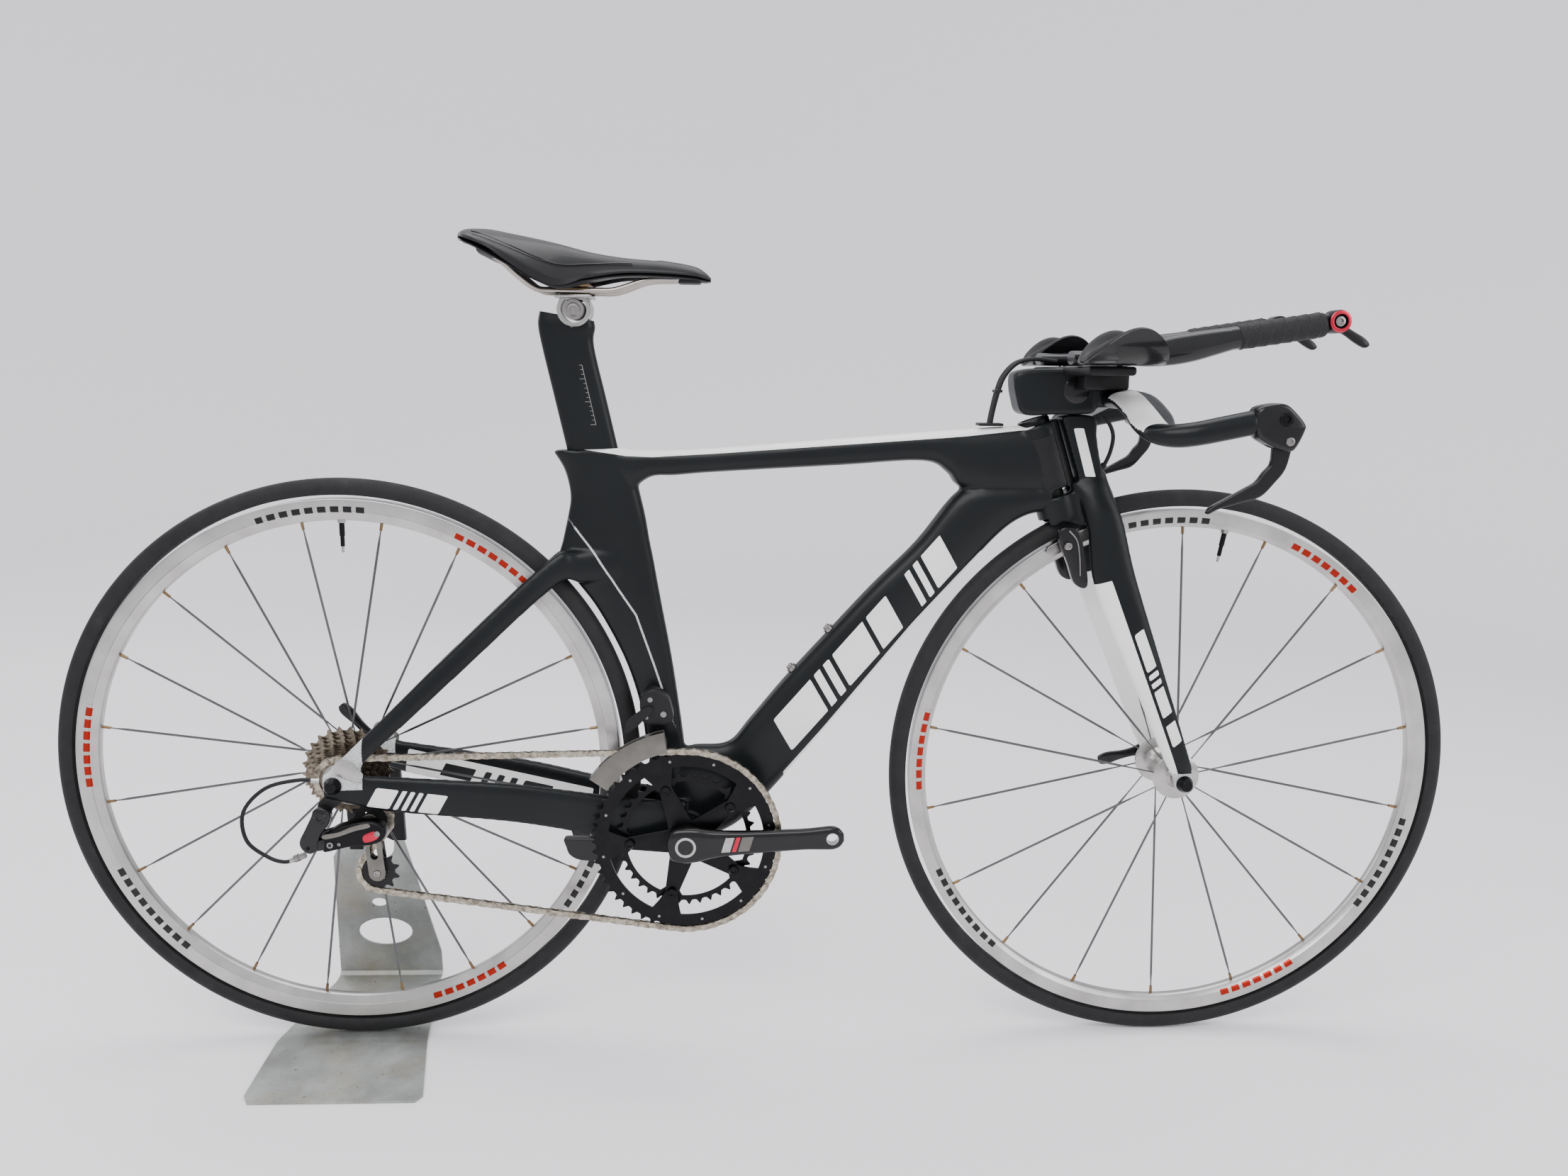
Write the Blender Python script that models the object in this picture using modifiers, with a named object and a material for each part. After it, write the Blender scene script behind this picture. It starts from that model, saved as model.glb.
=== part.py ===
"""Time-trial bicycle whose rear wheel is held by a bent sheet-steel stand.

Metres, +X forward, +Y to the bicycle's left, +Z up.  Every shape is placed from the
rear axle's foot on the floor; one empty then moves that foot half a wheelbase back, so
the world origin is on the floor, midway between the axles.  The drive side is -Y.
"""
import math

import bmesh
import bpy
from mathutils import Matrix, Vector

# ---------------------------------------------------------------- driving dimensions
GAP = 0.0003
WHEELBASE = 0.960
TYRE_RADIUS = 0.334
TYRE_HALF = 0.0115
REAR_LIFT = 0.0052
REAR_AXLE = (0.0, TYRE_RADIUS + REAR_LIFT)
FRONT_AXLE = (WHEELBASE, TYRE_RADIUS)
RIM_OUTER = 0.3125
RIM_HALF = 0.0095
RING_STEPS = 48
FRONT_OVER_LOCKNUTS = 0.100
REAR_OVER_LOCKNUTS = 0.130

CRANK_CENTRE = (0.388, 0.262)
CRANK_LENGTH = 0.1675
CRANK_ANGLE = math.radians(3.0)
CHAIN_PITCH = 0.0127
BIG_RING_TEETH = 53
SMALL_RING_TEETH = 39
BOLT_CIRCLE = 0.065
FIRST_BOLT = math.radians(39.0)
BIG_RING_Y = -0.0472
SMALL_RING_Y = -0.0398
COGS = (12, 13, 14, 15, 16, 17, 19, 21, 23, 25)
COG_SPACING = 0.00395
FIRST_COG_Y = -0.0563
PULLEY_TEETH = 11
GUIDE_PULLEY = (0.034, 0.292)
TENSION_PULLEY = (0.040, 0.231)

STEER_POINT = (0.794, 0.700)
HEAD_ANGLE = math.radians(72.0)
HEAD_RADIUS = 0.0240
SHELL_RADIUS = 0.0212
SPINDLE_RADIUS = 0.0122
SEAT_RING = (0.2655, 0.8595)
POST_LEAN = 0.2258

SHEET = 0.0025
RAMP_START = -0.022
RAMP_END = 0.125
RAMP_SLOPE = math.radians(5.0)
UPRIGHT_LEAN = math.radians(7.5)

BAR_HALF_WIDTH = 0.200
LEVER_PIVOT = (0.9817, 0.7321)
EXTENSION_Y = 0.072
REST_Y = 0.128
REST_AXIS_Z = 0.858
REST_RADIUS = 0.052
SHELL_DROP = 0.0040


def roller_radius(teeth):
    """Pitch radius of a sprocket for the half-inch chain."""
    return CHAIN_PITCH / (2.0 * math.sin(math.pi / teeth))


# ---------------------------------------------------------------- scene bookkeeping
def clear_scene():
    for obj in list(bpy.data.objects):
        bpy.data.objects.remove(obj, do_unlink=True)
    for group in list(bpy.data.collections):
        bpy.data.collections.remove(group)


def new_collection(name):
    group = bpy.data.collections.new(name)
    bpy.context.scene.collection.children.link(group)
    return group


clear_scene()
PARTS = new_collection("bicycle_on_stand")
CUTTERS = new_collection("cutters")


def new_empty(name, location, parent=None):
    empty = bpy.data.objects.new(name, None)
    empty.empty_display_size = 0.03
    empty.location = location
    PARTS.objects.link(empty)
    if parent:
        empty.parent = parent
    return empty


ORIGIN = new_empty("rear_axle_foot", (-WHEELBASE / 2.0, 0.0, 0.0))


def new_pivot(name, x, y, z):
    return new_empty(name, (x, y, z), ORIGIN)


def principled(name, colour, roughness, metallic):
    mat = bpy.data.materials.new(name)
    mat.use_nodes = True
    shader = mat.node_tree.nodes["Principled BSDF"]
    shader.inputs["Base Color"].default_value = (*colour, 1.0)
    shader.inputs["Roughness"].default_value = roughness
    shader.inputs["Metallic"].default_value = metallic
    mat.diffuse_color = (*colour, 1.0)
    return mat


CARBON = ((0.020, 0.024, 0.026), 0.35, 0.0)
GLOSS_BLACK = ((0.012, 0.012, 0.013), 0.18, 0.0)
RUBBER = ((0.025, 0.025, 0.025), 0.80, 0.0)
SILVER = ((0.62, 0.61, 0.59), 0.30, 1.0)
CHAIN_METAL = ((0.50, 0.47, 0.40), 0.35, 1.0)
COG_METAL = ((0.28, 0.24, 0.20), 0.45, 1.0)
STEEL_SHEET = ((0.42, 0.45, 0.43), 0.45, 1.0)
FOAM = ((0.018, 0.018, 0.018), 0.90, 0.0)
TITANIUM = ((0.45, 0.43, 0.40), 0.35, 1.0)


def finish(obj, name, look, pivot=None):
    """Name the piece, give it its own material and hang it on its pivot."""
    obj.name = name
    obj.data.name = name
    obj.data.materials.clear()
    obj.data.materials.append(principled(name, *look))
    for group in list(obj.users_collection):
        group.objects.unlink(obj)
    PARTS.objects.link(obj)
    parent = pivot if pivot else ORIGIN
    obj.parent = parent
    if pivot:
        obj.matrix_parent_inverse = Matrix.Translation(-pivot.location)
    obj.data.shade_smooth()
    obj.data.set_sharp_from_angle(angle=math.radians(35.0))
    return obj


def as_tool(obj, name):
    obj.name = name
    for group in list(obj.users_collection):
        group.objects.unlink(obj)
    CUTTERS.objects.link(obj)
    obj.parent = ORIGIN
    obj.hide_render = True
    obj.display_type = 'WIRE'
    return obj


def combine(obj, tool, operation):
    modifier = obj.modifiers.new(operation.lower() + "_" + tool.name, 'BOOLEAN')
    modifier.operation = operation
    modifier.solver = 'EXACT'
    modifier.object = as_tool(tool, tool.name)
    return obj


def cut(obj, tool):
    return combine(obj, tool, 'DIFFERENCE')


def fuse(obj, tool):
    return combine(obj, tool, 'UNION')


def keep_inside(obj, tool):
    return combine(obj, tool, 'INTERSECT')


def soften(obj, width, segments=1):
    modifier = obj.modifiers.new("soft_edges", 'BEVEL')
    modifier.width = width
    modifier.segments = segments
    modifier.limit_method = 'ANGLE'
    modifier.angle_limit = math.radians(30.0)
    return obj


# ---------------------------------------------------------------- shape builders
def object_from(name, bm):
    bmesh.ops.recalc_face_normals(bm, faces=bm.faces)
    mesh = bpy.data.meshes.new(name)
    bm.to_mesh(mesh)
    bm.free()
    obj = bpy.data.objects.new(name, mesh)
    bpy.context.scene.collection.objects.link(obj)
    return obj


def mesh_from_curve(curve_obj, flat_caps=False):
    """Replace a curve object by its closed mesh."""
    bpy.context.view_layer.update()
    graph = bpy.context.evaluated_depsgraph_get()
    mesh = bpy.data.meshes.new_from_object(curve_obj.evaluated_get(graph))
    bm = bmesh.new()
    bm.from_mesh(mesh)
    bmesh.ops.remove_doubles(bm, verts=bm.verts, dist=0.00001)
    if flat_caps:
        bmesh.ops.dissolve_limit(bm, angle_limit=0.001, verts=bm.verts, edges=bm.edges)
    bmesh.ops.recalc_face_normals(bm, faces=bm.faces)
    bm.to_mesh(mesh)
    bm.free()
    obj = bpy.data.objects.new(curve_obj.name, mesh)
    obj.matrix_world = curve_obj.matrix_world.copy()
    bpy.context.scene.collection.objects.link(obj)
    bpy.data.objects.remove(curve_obj, do_unlink=True)
    return obj


def flat_curve(name, loops, half_thickness):
    curve = bpy.data.curves.new(name, 'CURVE')
    curve.dimensions = '2D'
    curve.fill_mode = 'BOTH'
    curve.extrude = half_thickness
    for points in loops:
        spline = curve.splines.new('POLY')
        spline.points.add(len(points) - 1)
        for knot, (u, v) in zip(spline.points, points):
            knot.co = (u, v, 0.0, 1.0)
        spline.use_cyclic_u = True
    obj = bpy.data.objects.new(name, curve)
    bpy.context.scene.collection.objects.link(obj)
    return obj


def side_plate(name, outline, y, half_thickness, holes=()):
    """Flat piece whose outline is seen from the side, in (x, z)."""
    obj = flat_curve(name, [outline, *holes], half_thickness)
    obj.location = (0.0, y, 0.0)
    obj.rotation_euler = (math.pi / 2.0, 0.0, 0.0)
    return mesh_from_curve(obj, flat_caps=not holes)


def plan_plate(name, outline, z, half_thickness):
    """Flat piece whose outline is seen from above, in (x, y)."""
    obj = flat_curve(name, [outline], half_thickness)
    obj.location = (0.0, 0.0, z)
    return mesh_from_curve(obj, flat_caps=True)


def box(name, low, high):
    bm = bmesh.new()
    bmesh.ops.create_cube(bm, size=1.0)
    size = Vector(high) - Vector(low)
    middle = (Vector(high) + Vector(low)) / 2.0
    bmesh.ops.transform(bm, matrix=Matrix.Translation(middle) @ Matrix.Diagonal((*size, 1.0)),
                        verts=bm.verts)
    return object_from(name, bm)


def rod(name, start, end, radius, sides=24):
    """Round bar between two points."""
    start, end = Vector(start), Vector(end)
    along = end - start
    bm = bmesh.new()
    bmesh.ops.create_cone(bm, cap_ends=True, segments=sides, radius1=radius, radius2=radius,
                          depth=along.length)
    turn = along.to_track_quat('Z', 'Y').to_matrix().to_4x4()
    bmesh.ops.transform(bm, matrix=Matrix.Translation((start + end) / 2.0) @ turn,
                        verts=bm.verts)
    return object_from(name, bm)


def cross_rod(name, centre, y0, y1, radius, sides=24):
    """Round bar along Y, at a side-view point."""
    return rod(name, (centre[0], y0, centre[1]), (centre[0], y1, centre[1]), radius, sides)


def turned(name, profile, centre, steps, closed=True):
    """Solid turned about Y.  The profile is (radius, y), with y rising on its outer side."""
    mesh = bpy.data.meshes.new(name)
    points = [(radius, 0.0, -y) for radius, y in profile]
    edges = [(i, i + 1) for i in range(len(points) - 1)]
    if closed:
        edges.append((len(points) - 1, 0))
    mesh.from_pydata(points, edges, [])
    obj = bpy.data.objects.new(name, mesh)
    bpy.context.scene.collection.objects.link(obj)
    obj.location = (centre[0], 0.0, centre[1])
    obj.rotation_euler = (math.pi / 2.0, 0.0, 0.0)
    screw = obj.modifiers.new("turn", 'SCREW')
    screw.axis = 'Z'
    screw.angle = 2.0 * math.pi
    screw.steps = steps
    screw.render_steps = steps
    screw.use_merge_vertices = True
    screw.merge_threshold = 0.00001
    return obj


def skin(name, rings, ring_closed=False):
    """Quad skin through rings of equal point count, capped unless the rings form a loop."""
    bm = bmesh.new()
    rows = [[bm.verts.new(point) for point in ring] for ring in rings]
    count = len(rows[0])
    pairs = list(zip(rows, rows[1:]))
    if ring_closed:
        pairs.append((rows[-1], rows[0]))
    else:
        bm.faces.new(rows[0][::-1])
        bm.faces.new(rows[-1])
    for first, second in pairs:
        for i in range(count):
            j = (i + 1) % count
            bm.faces.new((first[i], first[j], second[j], second[i]))
    return object_from(name, bm)


def rounded_section(centre, side, up, half_side, half_up, sides=12, power=2.6):
    """Superellipse ring of points in the plane of two unit vectors."""
    ring = []
    for k in range(sides):
        angle = 2.0 * math.pi * (k + 0.5) / sides
        c, s = math.cos(angle), math.sin(angle)
        u = math.copysign(abs(c) ** (2.0 / power), c) * half_side
        v = math.copysign(abs(s) ** (2.0 / power), s) * half_up
        ring.append(centre + side * u + up * v)
    return ring


def side_loft(name, stations, side=1.0, sides=12, power=2.6, grow=0.0):
    """Tube through stations (upper edge, lower edge, y, half width) seen from the side."""
    rings = []
    for upper, lower, y, half_width in stations:
        top = Vector((upper[0], side * y, upper[1]))
        bottom = Vector((lower[0], side * y, lower[1]))
        depth = (top - bottom).normalized()
        half_depth = (top - bottom).length / 2.0 + grow
        rings.append(rounded_section((top + bottom) / 2.0, Vector((0.0, 1.0, 0.0)), depth,
                                     half_width + grow, half_depth, sides, power))
    return skin(name, rings)


def path_loft(name, stations):
    """Bar along stations (centre, half width, half height), kept upright."""
    centres = [Vector(station[0]) for station in stations]
    rings = []
    for i, (centre, half_width, half_height) in enumerate(stations):
        along = centres[min(i + 1, len(centres) - 1)] - centres[max(i - 1, 0)]
        along.normalize()
        side = along.cross(Vector((0.0, 0.0, 1.0))).normalized()
        up = side.cross(along)
        rings.append(rounded_section(Vector(centre), side, up, half_width, half_height, 12,
                                     2.2))
    return skin(name, rings)


def smooth_route(points, steps):
    """Points along a Catmull-Rom curve through the given ones."""
    route = [Vector(p) for p in points]
    ends = [2 * route[0] - route[1], *route, 2 * route[-1] - route[-2]]
    result = []
    for i in range(1, len(ends) - 2):
        a, b, c, d = ends[i - 1:i + 3]
        for k in range(steps):
            t = k / steps
            result.append(0.5 * (2 * b + (c - a) * t + (2 * a - 5 * b + 4 * c - d) * t * t
                                 + (3 * b - a - 3 * c + d) * t ** 3))
    result.append(route[-1])
    return result


def wire(name, points, radius, steps=4):
    """Cable or rod bent along a smooth route."""
    curve = bpy.data.curves.new(name, 'CURVE')
    curve.dimensions = '3D'
    curve.bevel_depth = radius
    curve.bevel_resolution = 2
    curve.use_fill_caps = True
    route = smooth_route(points, steps)
    spline = curve.splines.new('POLY')
    spline.points.add(len(route) - 1)
    for knot, point in zip(spline.points, route):
        knot.co = (*point, 1.0)
    obj = bpy.data.objects.new(name, curve)
    bpy.context.scene.collection.objects.link(obj)
    return mesh_from_curve(obj)


def arc(centre, radius, start, end, count):
    """Points on a side-view arc, angles in degrees."""
    points = []
    for k in range(count):
        angle = math.radians(start + (end - start) * k / (count - 1))
        points.append((centre[0] + radius * math.cos(angle),
                       centre[1] + radius * math.sin(angle)))
    return points


def capsule(first, first_radius, second, second_radius, count=8):
    """Outline round two circles and their outer tangents."""
    dx, dz = second[0] - first[0], second[1] - first[1]
    heading = math.degrees(math.atan2(dz, dx))
    open_angle = math.degrees(math.acos((first_radius - second_radius) / math.hypot(dx, dz)))
    return (arc(first, first_radius, heading + open_angle, heading + 360.0 - open_angle, count)
            + arc(second, second_radius, heading - open_angle, heading + open_angle, count))


def steer_axis_point(z):
    """Point of the steering axis at a height."""
    return (STEER_POINT[0] - (z - STEER_POINT[1]) / math.tan(HEAD_ANGLE), z)


def steer_rod(name, z0, z1, radius, sides=32):
    x0, x1 = steer_axis_point(z0)[0], steer_axis_point(z1)[0]
    return rod(name, (x0, 0.0, z0), (x1, 0.0, z1), radius, sides)


# ---------------------------------------------------------------- stand
def upright_y(z):
    """Middle of the upright sheet at a height."""
    foot = (RAMP_END - RAMP_START) * math.tan(RAMP_SLOPE)
    return RAMP_END - SHEET / 2.0 - (z - foot) * math.tan(UPRIGHT_LEAN)


def stand_plate():
    foot = (RAMP_END - RAMP_START) * math.tan(RAMP_SLOPE)
    tip = 0.230
    line = [(-0.1470, 0.0), (RAMP_START, 0.0), (RAMP_END - 0.006, foot - 0.0005),
            (RAMP_END, foot + 0.005),
            (RAMP_END - (tip - foot) * math.tan(UPRIGHT_LEAN), tip)]
    bm = bmesh.new()
    rows = [[bm.verts.new((x, y, z)) for y, z in line] for x in (-0.105, 0.105)]
    for i in range(len(line) - 1):
        bm.faces.new((rows[0][i], rows[1][i], rows[1][i + 1], rows[0][i + 1]))
    mesh = bpy.data.meshes.new("stand_plate")
    bm.to_mesh(mesh)
    bm.free()
    plate = bpy.data.objects.new("stand_plate", mesh)
    bpy.context.scene.collection.objects.link(plate)
    shell = plate.modifiers.new("sheet", 'SOLIDIFY')
    shell.thickness = SHEET
    shell.offset = 1.0
    shell.use_even_offset = True
    plan = plan_plate("stand_plan", [
        (-0.0870, -0.1480), (0.0930, -0.1480), (0.1000, -0.1360), (0.0775, RAMP_START),
        (0.0635, 0.1050), (0.0635, 0.1400), (-0.0680, 0.1400), (-0.0680, 0.1050),
        (-0.0995, RAMP_START), (-0.0956, -0.1330)], 0.12, 0.14)
    small_hole = [(-0.0103 + 0.0095 * math.cos(a), 0.1197 + 0.006 * math.sin(a))
                  for a in (2.0 * math.pi * k / 16 for k in range(16))]
    large_hole = [(-0.0055 + 0.034 * math.cos(a), 0.0775 + 0.0195 * math.sin(a))
                  for a in (2.0 * math.pi * k / 24 for k in range(24))]
    notch = arc((-0.00475, 0.2000), 0.01925, 180.0, 360.0, 9)
    front = side_plate("stand_front", [
        (-0.1100, -0.010), (0.1100, -0.010), (0.1100, 0.0158), (0.0640, 0.0158),
        (0.0640, 0.0450), (0.0264, 0.2120), (0.0145, 0.2120), *notch[::-1],
        (-0.0400, 0.2000), (-0.0560, 0.1970), (-0.0624, 0.1850), (-0.0680, 0.0158),
        (-0.1100, 0.0158)], 0.0, 0.2, holes=[small_hole, large_hole])
    keep_inside(plate, plan)
    keep_inside(plate, front)
    return finish(plate, "stand_plate", STEEL_SHEET)


def stand_hook():
    """Rubber-coated fork on the sheet's top edge; its prongs hold the rear axle's far end."""
    route = [(-0.0300, 0.3525), (-0.0318, 0.2420), (-0.0290, 0.2270), (-0.0200, 0.2200),
             (0.0080, 0.2200), (0.0180, 0.2270), (0.0210, 0.2420), (0.0225, 0.3525)]
    hook = wire("stand_hook", [(x, upright_y(z), z) for x, z in route], 0.0052, steps=2)
    for x, foot in ((-0.0310, 0.2010), (0.0206, 0.2130)):
        fuse(hook, rod("foot", (x, upright_y(foot), foot), (x, upright_y(0.2380), 0.2380),
                       0.0046, 16))
    return finish(hook, "stand_hook", RUBBER)


# ---------------------------------------------------------------- frame
def shell_seat(obj):
    """Hollow that a neighbour keeps round the bottom-bracket shell."""
    return cut(obj, cross_rod(obj.name + "_shell_seat", CRANK_CENTRE, -0.05, 0.05,
                              SHELL_RADIUS + GAP, 32))


def head_seat(obj):
    return cut(obj, steer_rod(obj.name + "_head_seat", 0.60, 0.80, HEAD_RADIUS + GAP))


def top_tube():
    tube = side_loft("top_tube", [
        ((0.3200, 0.7093), (0.3358, 0.6625), 0.0, 0.0160),
        ((0.3500, 0.7062), (0.3520, 0.6780), 0.0, 0.0165),
        ((0.4200, 0.7100), (0.4200, 0.6830), 0.0, 0.0170),
        ((0.5600, 0.7220), (0.5600, 0.6920), 0.0, 0.0185),
        ((0.6700, 0.7315), (0.6680, 0.6990), 0.0, 0.0200),
        ((0.7000, 0.7340), (0.6985, 0.6690), 0.0, 0.0210),
        ((0.7810, 0.7410), (0.8030, 0.6690), 0.0, 0.0212)], power=3.2)
    return finish(head_seat(tube), "top_tube", CARBON)


def down_tube():
    tube = side_loft("down_tube", [
        ((0.3865, 0.3640), (0.3900, 0.2500), 0.0, 0.0125),
        ((0.4350, 0.3660), (0.4400, 0.2620), 0.0, 0.0160),
        ((0.4600, 0.3950), (0.4820, 0.3030), 0.0, 0.0175),
        ((0.5000, 0.4440), (0.5560, 0.3920), 0.0, 0.0185),
        ((0.6000, 0.5550), (0.6545, 0.5140), 0.0, 0.0190),
        ((0.6500, 0.6060), (0.7000, 0.5650), 0.0, 0.0195),
        ((0.6990, 0.6662), (0.7450, 0.6150), 0.0, 0.0205),
        ((0.7450, 0.6662), (0.7750, 0.6362), 0.0, 0.0210),
        ((0.8050, 0.6662), (0.8100, 0.6415), 0.0, 0.0210)], power=3.0)
    fuse(tube, cross_rod("bracket_shell", CRANK_CENTRE, -0.0405, 0.0405, SHELL_RADIUS, 32))
    cut(tube, cross_rod("bracket_bore", CRANK_CENTRE, -0.06, 0.06, SPINDLE_RADIUS + 0.0005, 24))
    return finish(head_seat(tube), "down_tube", CARBON)


def seatpost_stations(z_end):
    """Edges of the leaning post from a lower end up to the saddle ring."""
    def edges(z):
        rear = 0.2250 + (0.834 - z) * POST_LEAN
        return (rear + 0.0572, z), (rear, z)
    rows = [(*edges(z), 0.0, 0.0105) for z in (z_end, 0.700, 0.826)]
    rows.append(((0.2865, 0.8420), (0.2245, 0.8460), 0.0, 0.0125))
    rows.append(((0.2850, 0.8480), (0.2290, 0.8610), 0.0, 0.0110))
    return rows


def seat_tube():
    tube = side_loft("seat_tube", [
        ((0.3857, 0.2700), (0.3540, 0.2620), 0.0, 0.0110),
        ((0.3857, 0.3300), (0.3455, 0.3300), 0.0, 0.0115),
        ((0.3835, 0.3710), (0.3390, 0.3710), 0.0, 0.0120),
        ((0.3775, 0.4200), (0.3315, 0.4180), 0.0, 0.0120),
        ((0.3700, 0.4700), (0.3142, 0.4700), 0.0, 0.0122),
        ((0.3600, 0.5250), (0.2857, 0.5245), 0.0, 0.0126),
        ((0.3550, 0.5530), (0.2625, 0.5560), 0.0, 0.0130),
        ((0.3500, 0.5820), (0.2430, 0.5820), 0.0, 0.0135),
        ((0.3455, 0.6050), (0.2450, 0.6050), 0.0, 0.0138),
        ((0.3410, 0.6320), (0.2525, 0.6340), 0.0, 0.0145),
        ((0.3345, 0.6605), (0.2565, 0.6560), 0.0, 0.0150),
        ((0.3265, 0.6860), (0.2505, 0.6840), 0.0, 0.0155),
        ((0.3178, 0.7090), (0.2372, 0.7055), 0.0, 0.0155)], sides=16, power=3.2)
    wheel = cross_rod("wheel_cutout", REAR_AXLE, -0.03, 0.03, 0.3400, 64)
    cut(tube, wheel)
    cut(tube, side_loft("post_pocket", seatpost_stations(0.5550), grow=0.0004, power=3.0))
    return finish(shell_seat(tube), "seat_tube", CARBON)


def head_tube():
    across = Vector((math.sin(HEAD_ANGLE), 0.0, math.cos(HEAD_ANGLE)))
    rings = []
    for z in (0.6668, 0.7000, 0.7400):
        x, _ = steer_axis_point(z)
        rings.append(rounded_section(Vector((x, 0.0, z)) + across * 0.0017, across,
                                     Vector((0.0, 1.0, 0.0)), 0.0256, 0.0222, 20, 2.0))
    tube = skin("head_tube", rings)
    fuse(tube, steer_rod("headset_ring", 0.735, 0.7440, 0.0175))
    cut(tube, steer_rod("steerer_bore", 0.60, 0.80, 0.0125, 24))
    return finish(tube, "head_tube", CARBON)


def chain_stay(name, side):
    stay = side_loft(name, [
        ((-0.0120, 0.3520), (-0.0120, 0.3230), 0.0708, 0.0055),
        ((0.0220, 0.3495), (0.0170, 0.3150), 0.0690, 0.0055),
        ((0.0520, 0.3462), (0.0600, 0.3040), 0.0640, 0.0055),
        ((0.1900, 0.3310), (0.1900, 0.2850), 0.0455, 0.0055),
        ((0.2900, 0.3130), (0.2850, 0.2630), 0.0315, 0.0055),
        ((0.3450, 0.3050), (0.3450, 0.2500), 0.0240, 0.0055),
        ((0.3880, 0.3000), (0.3800, 0.2600), 0.0190, 0.0050)], side=side, power=3.2)
    shell_seat(stay)
    cut(stay, cross_rod(name + "_axle_hole", REAR_AXLE, -0.09, 0.09, 0.0030, 16))
    return finish(stay, name, CARBON)


def seat_stay(name, side):
    stay = side_loft(name, [
        ((-0.0100, 0.3532), (0.0300, 0.3508), 0.0690, 0.0050),
        ((0.0135, 0.3735), (0.0340, 0.3640), 0.0660, 0.0055),
        ((0.1180, 0.4765), (0.1395, 0.4620), 0.0460, 0.0060),
        ((0.2340, 0.5850), (0.2430, 0.5560), 0.0265, 0.0065),
        ((0.2640, 0.5900), (0.2700, 0.5590), 0.0197, 0.0055)], side=side, power=3.0)
    return finish(stay, name, CARBON)


# ---------------------------------------------------------------- saddle
def seatpost(pivot):
    post = side_loft("seatpost", seatpost_stations(0.6000), power=3.0)
    cut(post, cross_rod("ring_seat", SEAT_RING, -0.03, 0.03, 0.0188, 32))
    return finish(post, "seatpost", CARBON, pivot)


def seat_clamp(pivot):
    """Ring round the post head, with the cradle and lid that grip the rails."""
    neck = [(0.2750, 0.8840), (0.2550, 0.8840), (0.2510, 0.8755)]
    outline = arc(SEAT_RING, 0.0185, 120.0, 420.0, 21) + [(0.2790, 0.8755)] + neck
    bore = arc(SEAT_RING, 0.0135, 0.0, 342.0, 20)
    clamp = side_plate("seat_clamp", outline, 0.0, 0.0150, holes=[bore])
    fuse(clamp, box("rail_cradle", (0.2460, -0.0270, 0.8718), (0.2850, 0.0270, 0.8751)))
    fuse(clamp, box("clamp_lid", (0.2480, -0.0290, 0.8833), (0.2830, 0.0290, 0.8884)))
    return finish(clamp, "seat_clamp", SILVER, pivot)


def saddle_rails(pivot):
    half = [(0.195, 0.033, 0.9110), (0.208, 0.028, 0.8950), (0.226, 0.022, 0.8800),
            (0.245, 0.022, 0.8793), (0.290, 0.022, 0.8793), (0.312, 0.0215, 0.8800),
            (0.345, 0.0150, 0.8925), (0.372, 0.0110, 0.8925), (0.384, 0.0060, 0.8925)]
    route = [(x, -y, z) for x, y, z in half] + [(x, y, z) for x, y, z in reversed(half)]
    return finish(wire("saddle_rails", route, 0.0035, steps=1), "saddle_rails", TITANIUM, pivot)


SADDLE = (
    # x, top at the middle, half width, droop of the sides, pad thickness
    (0.1425, 0.9370, 0.0200, 0.0010, 0.0060),
    (0.1500, 0.9425, 0.0440, 0.0040, 0.0100),
    (0.1700, 0.9435, 0.0600, 0.0120, 0.0130),
    (0.2000, 0.9390, 0.0655, 0.0220, 0.0140),
    (0.2300, 0.9340, 0.0580, 0.0340, 0.0140),
    (0.2550, 0.9290, 0.0440, 0.0360, 0.0130),
    (0.2850, 0.9220, 0.0310, 0.0220, 0.0120),
    (0.3200, 0.9170, 0.0245, 0.0120, 0.0100),
    (0.3600, 0.9140, 0.0215, 0.0090, 0.0090),
    (0.3950, 0.9080, 0.0180, 0.0060, 0.0080),
    (0.4150, 0.8960, 0.0080, 0.0010, 0.0050))


def saddle_layer(name, look, pivot, pad):
    """The padded cover, or the thin shell just under it."""
    shares = (-1.0, -0.8, -0.5, 0.0, 0.5, 0.8, 1.0)
    rings = []
    for x, top, half_width, droop, thick in SADDLE:
        high = 0.0 if pad else -thick
        low = SHELL_DROP - thick if pad else -thick - 0.0032
        upper = [(x, s * half_width, top - droop * abs(s) ** 3 + high) for s in shares]
        lower = [(x, s * half_width, top - droop * abs(s) ** 3 + low) for s in shares]
        rings.append([Vector(p) for p in upper + lower[::-1]])
    return finish(skin(name, rings), name, look, pivot)


# ---------------------------------------------------------------- fork and cockpit
def fork_leg(name, side):
    return side_loft(name, [
        ((0.8640, 0.6720), (0.8300, 0.6600), 0.0180, 0.0110),
        ((0.8800, 0.6350), (0.8400, 0.6250), 0.0300, 0.0090),
        ((0.8960, 0.5720), (0.8500, 0.5560), 0.0385, 0.0085),
        ((0.9665, 0.3620), (0.9400, 0.3540), 0.0568, 0.0062),
        ((0.9715, 0.3400), (0.9490, 0.3320), 0.0550, 0.0042),
        ((0.9680, 0.3240), (0.9530, 0.3235), 0.0550, 0.0042)], side=side, power=2.8)


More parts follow.
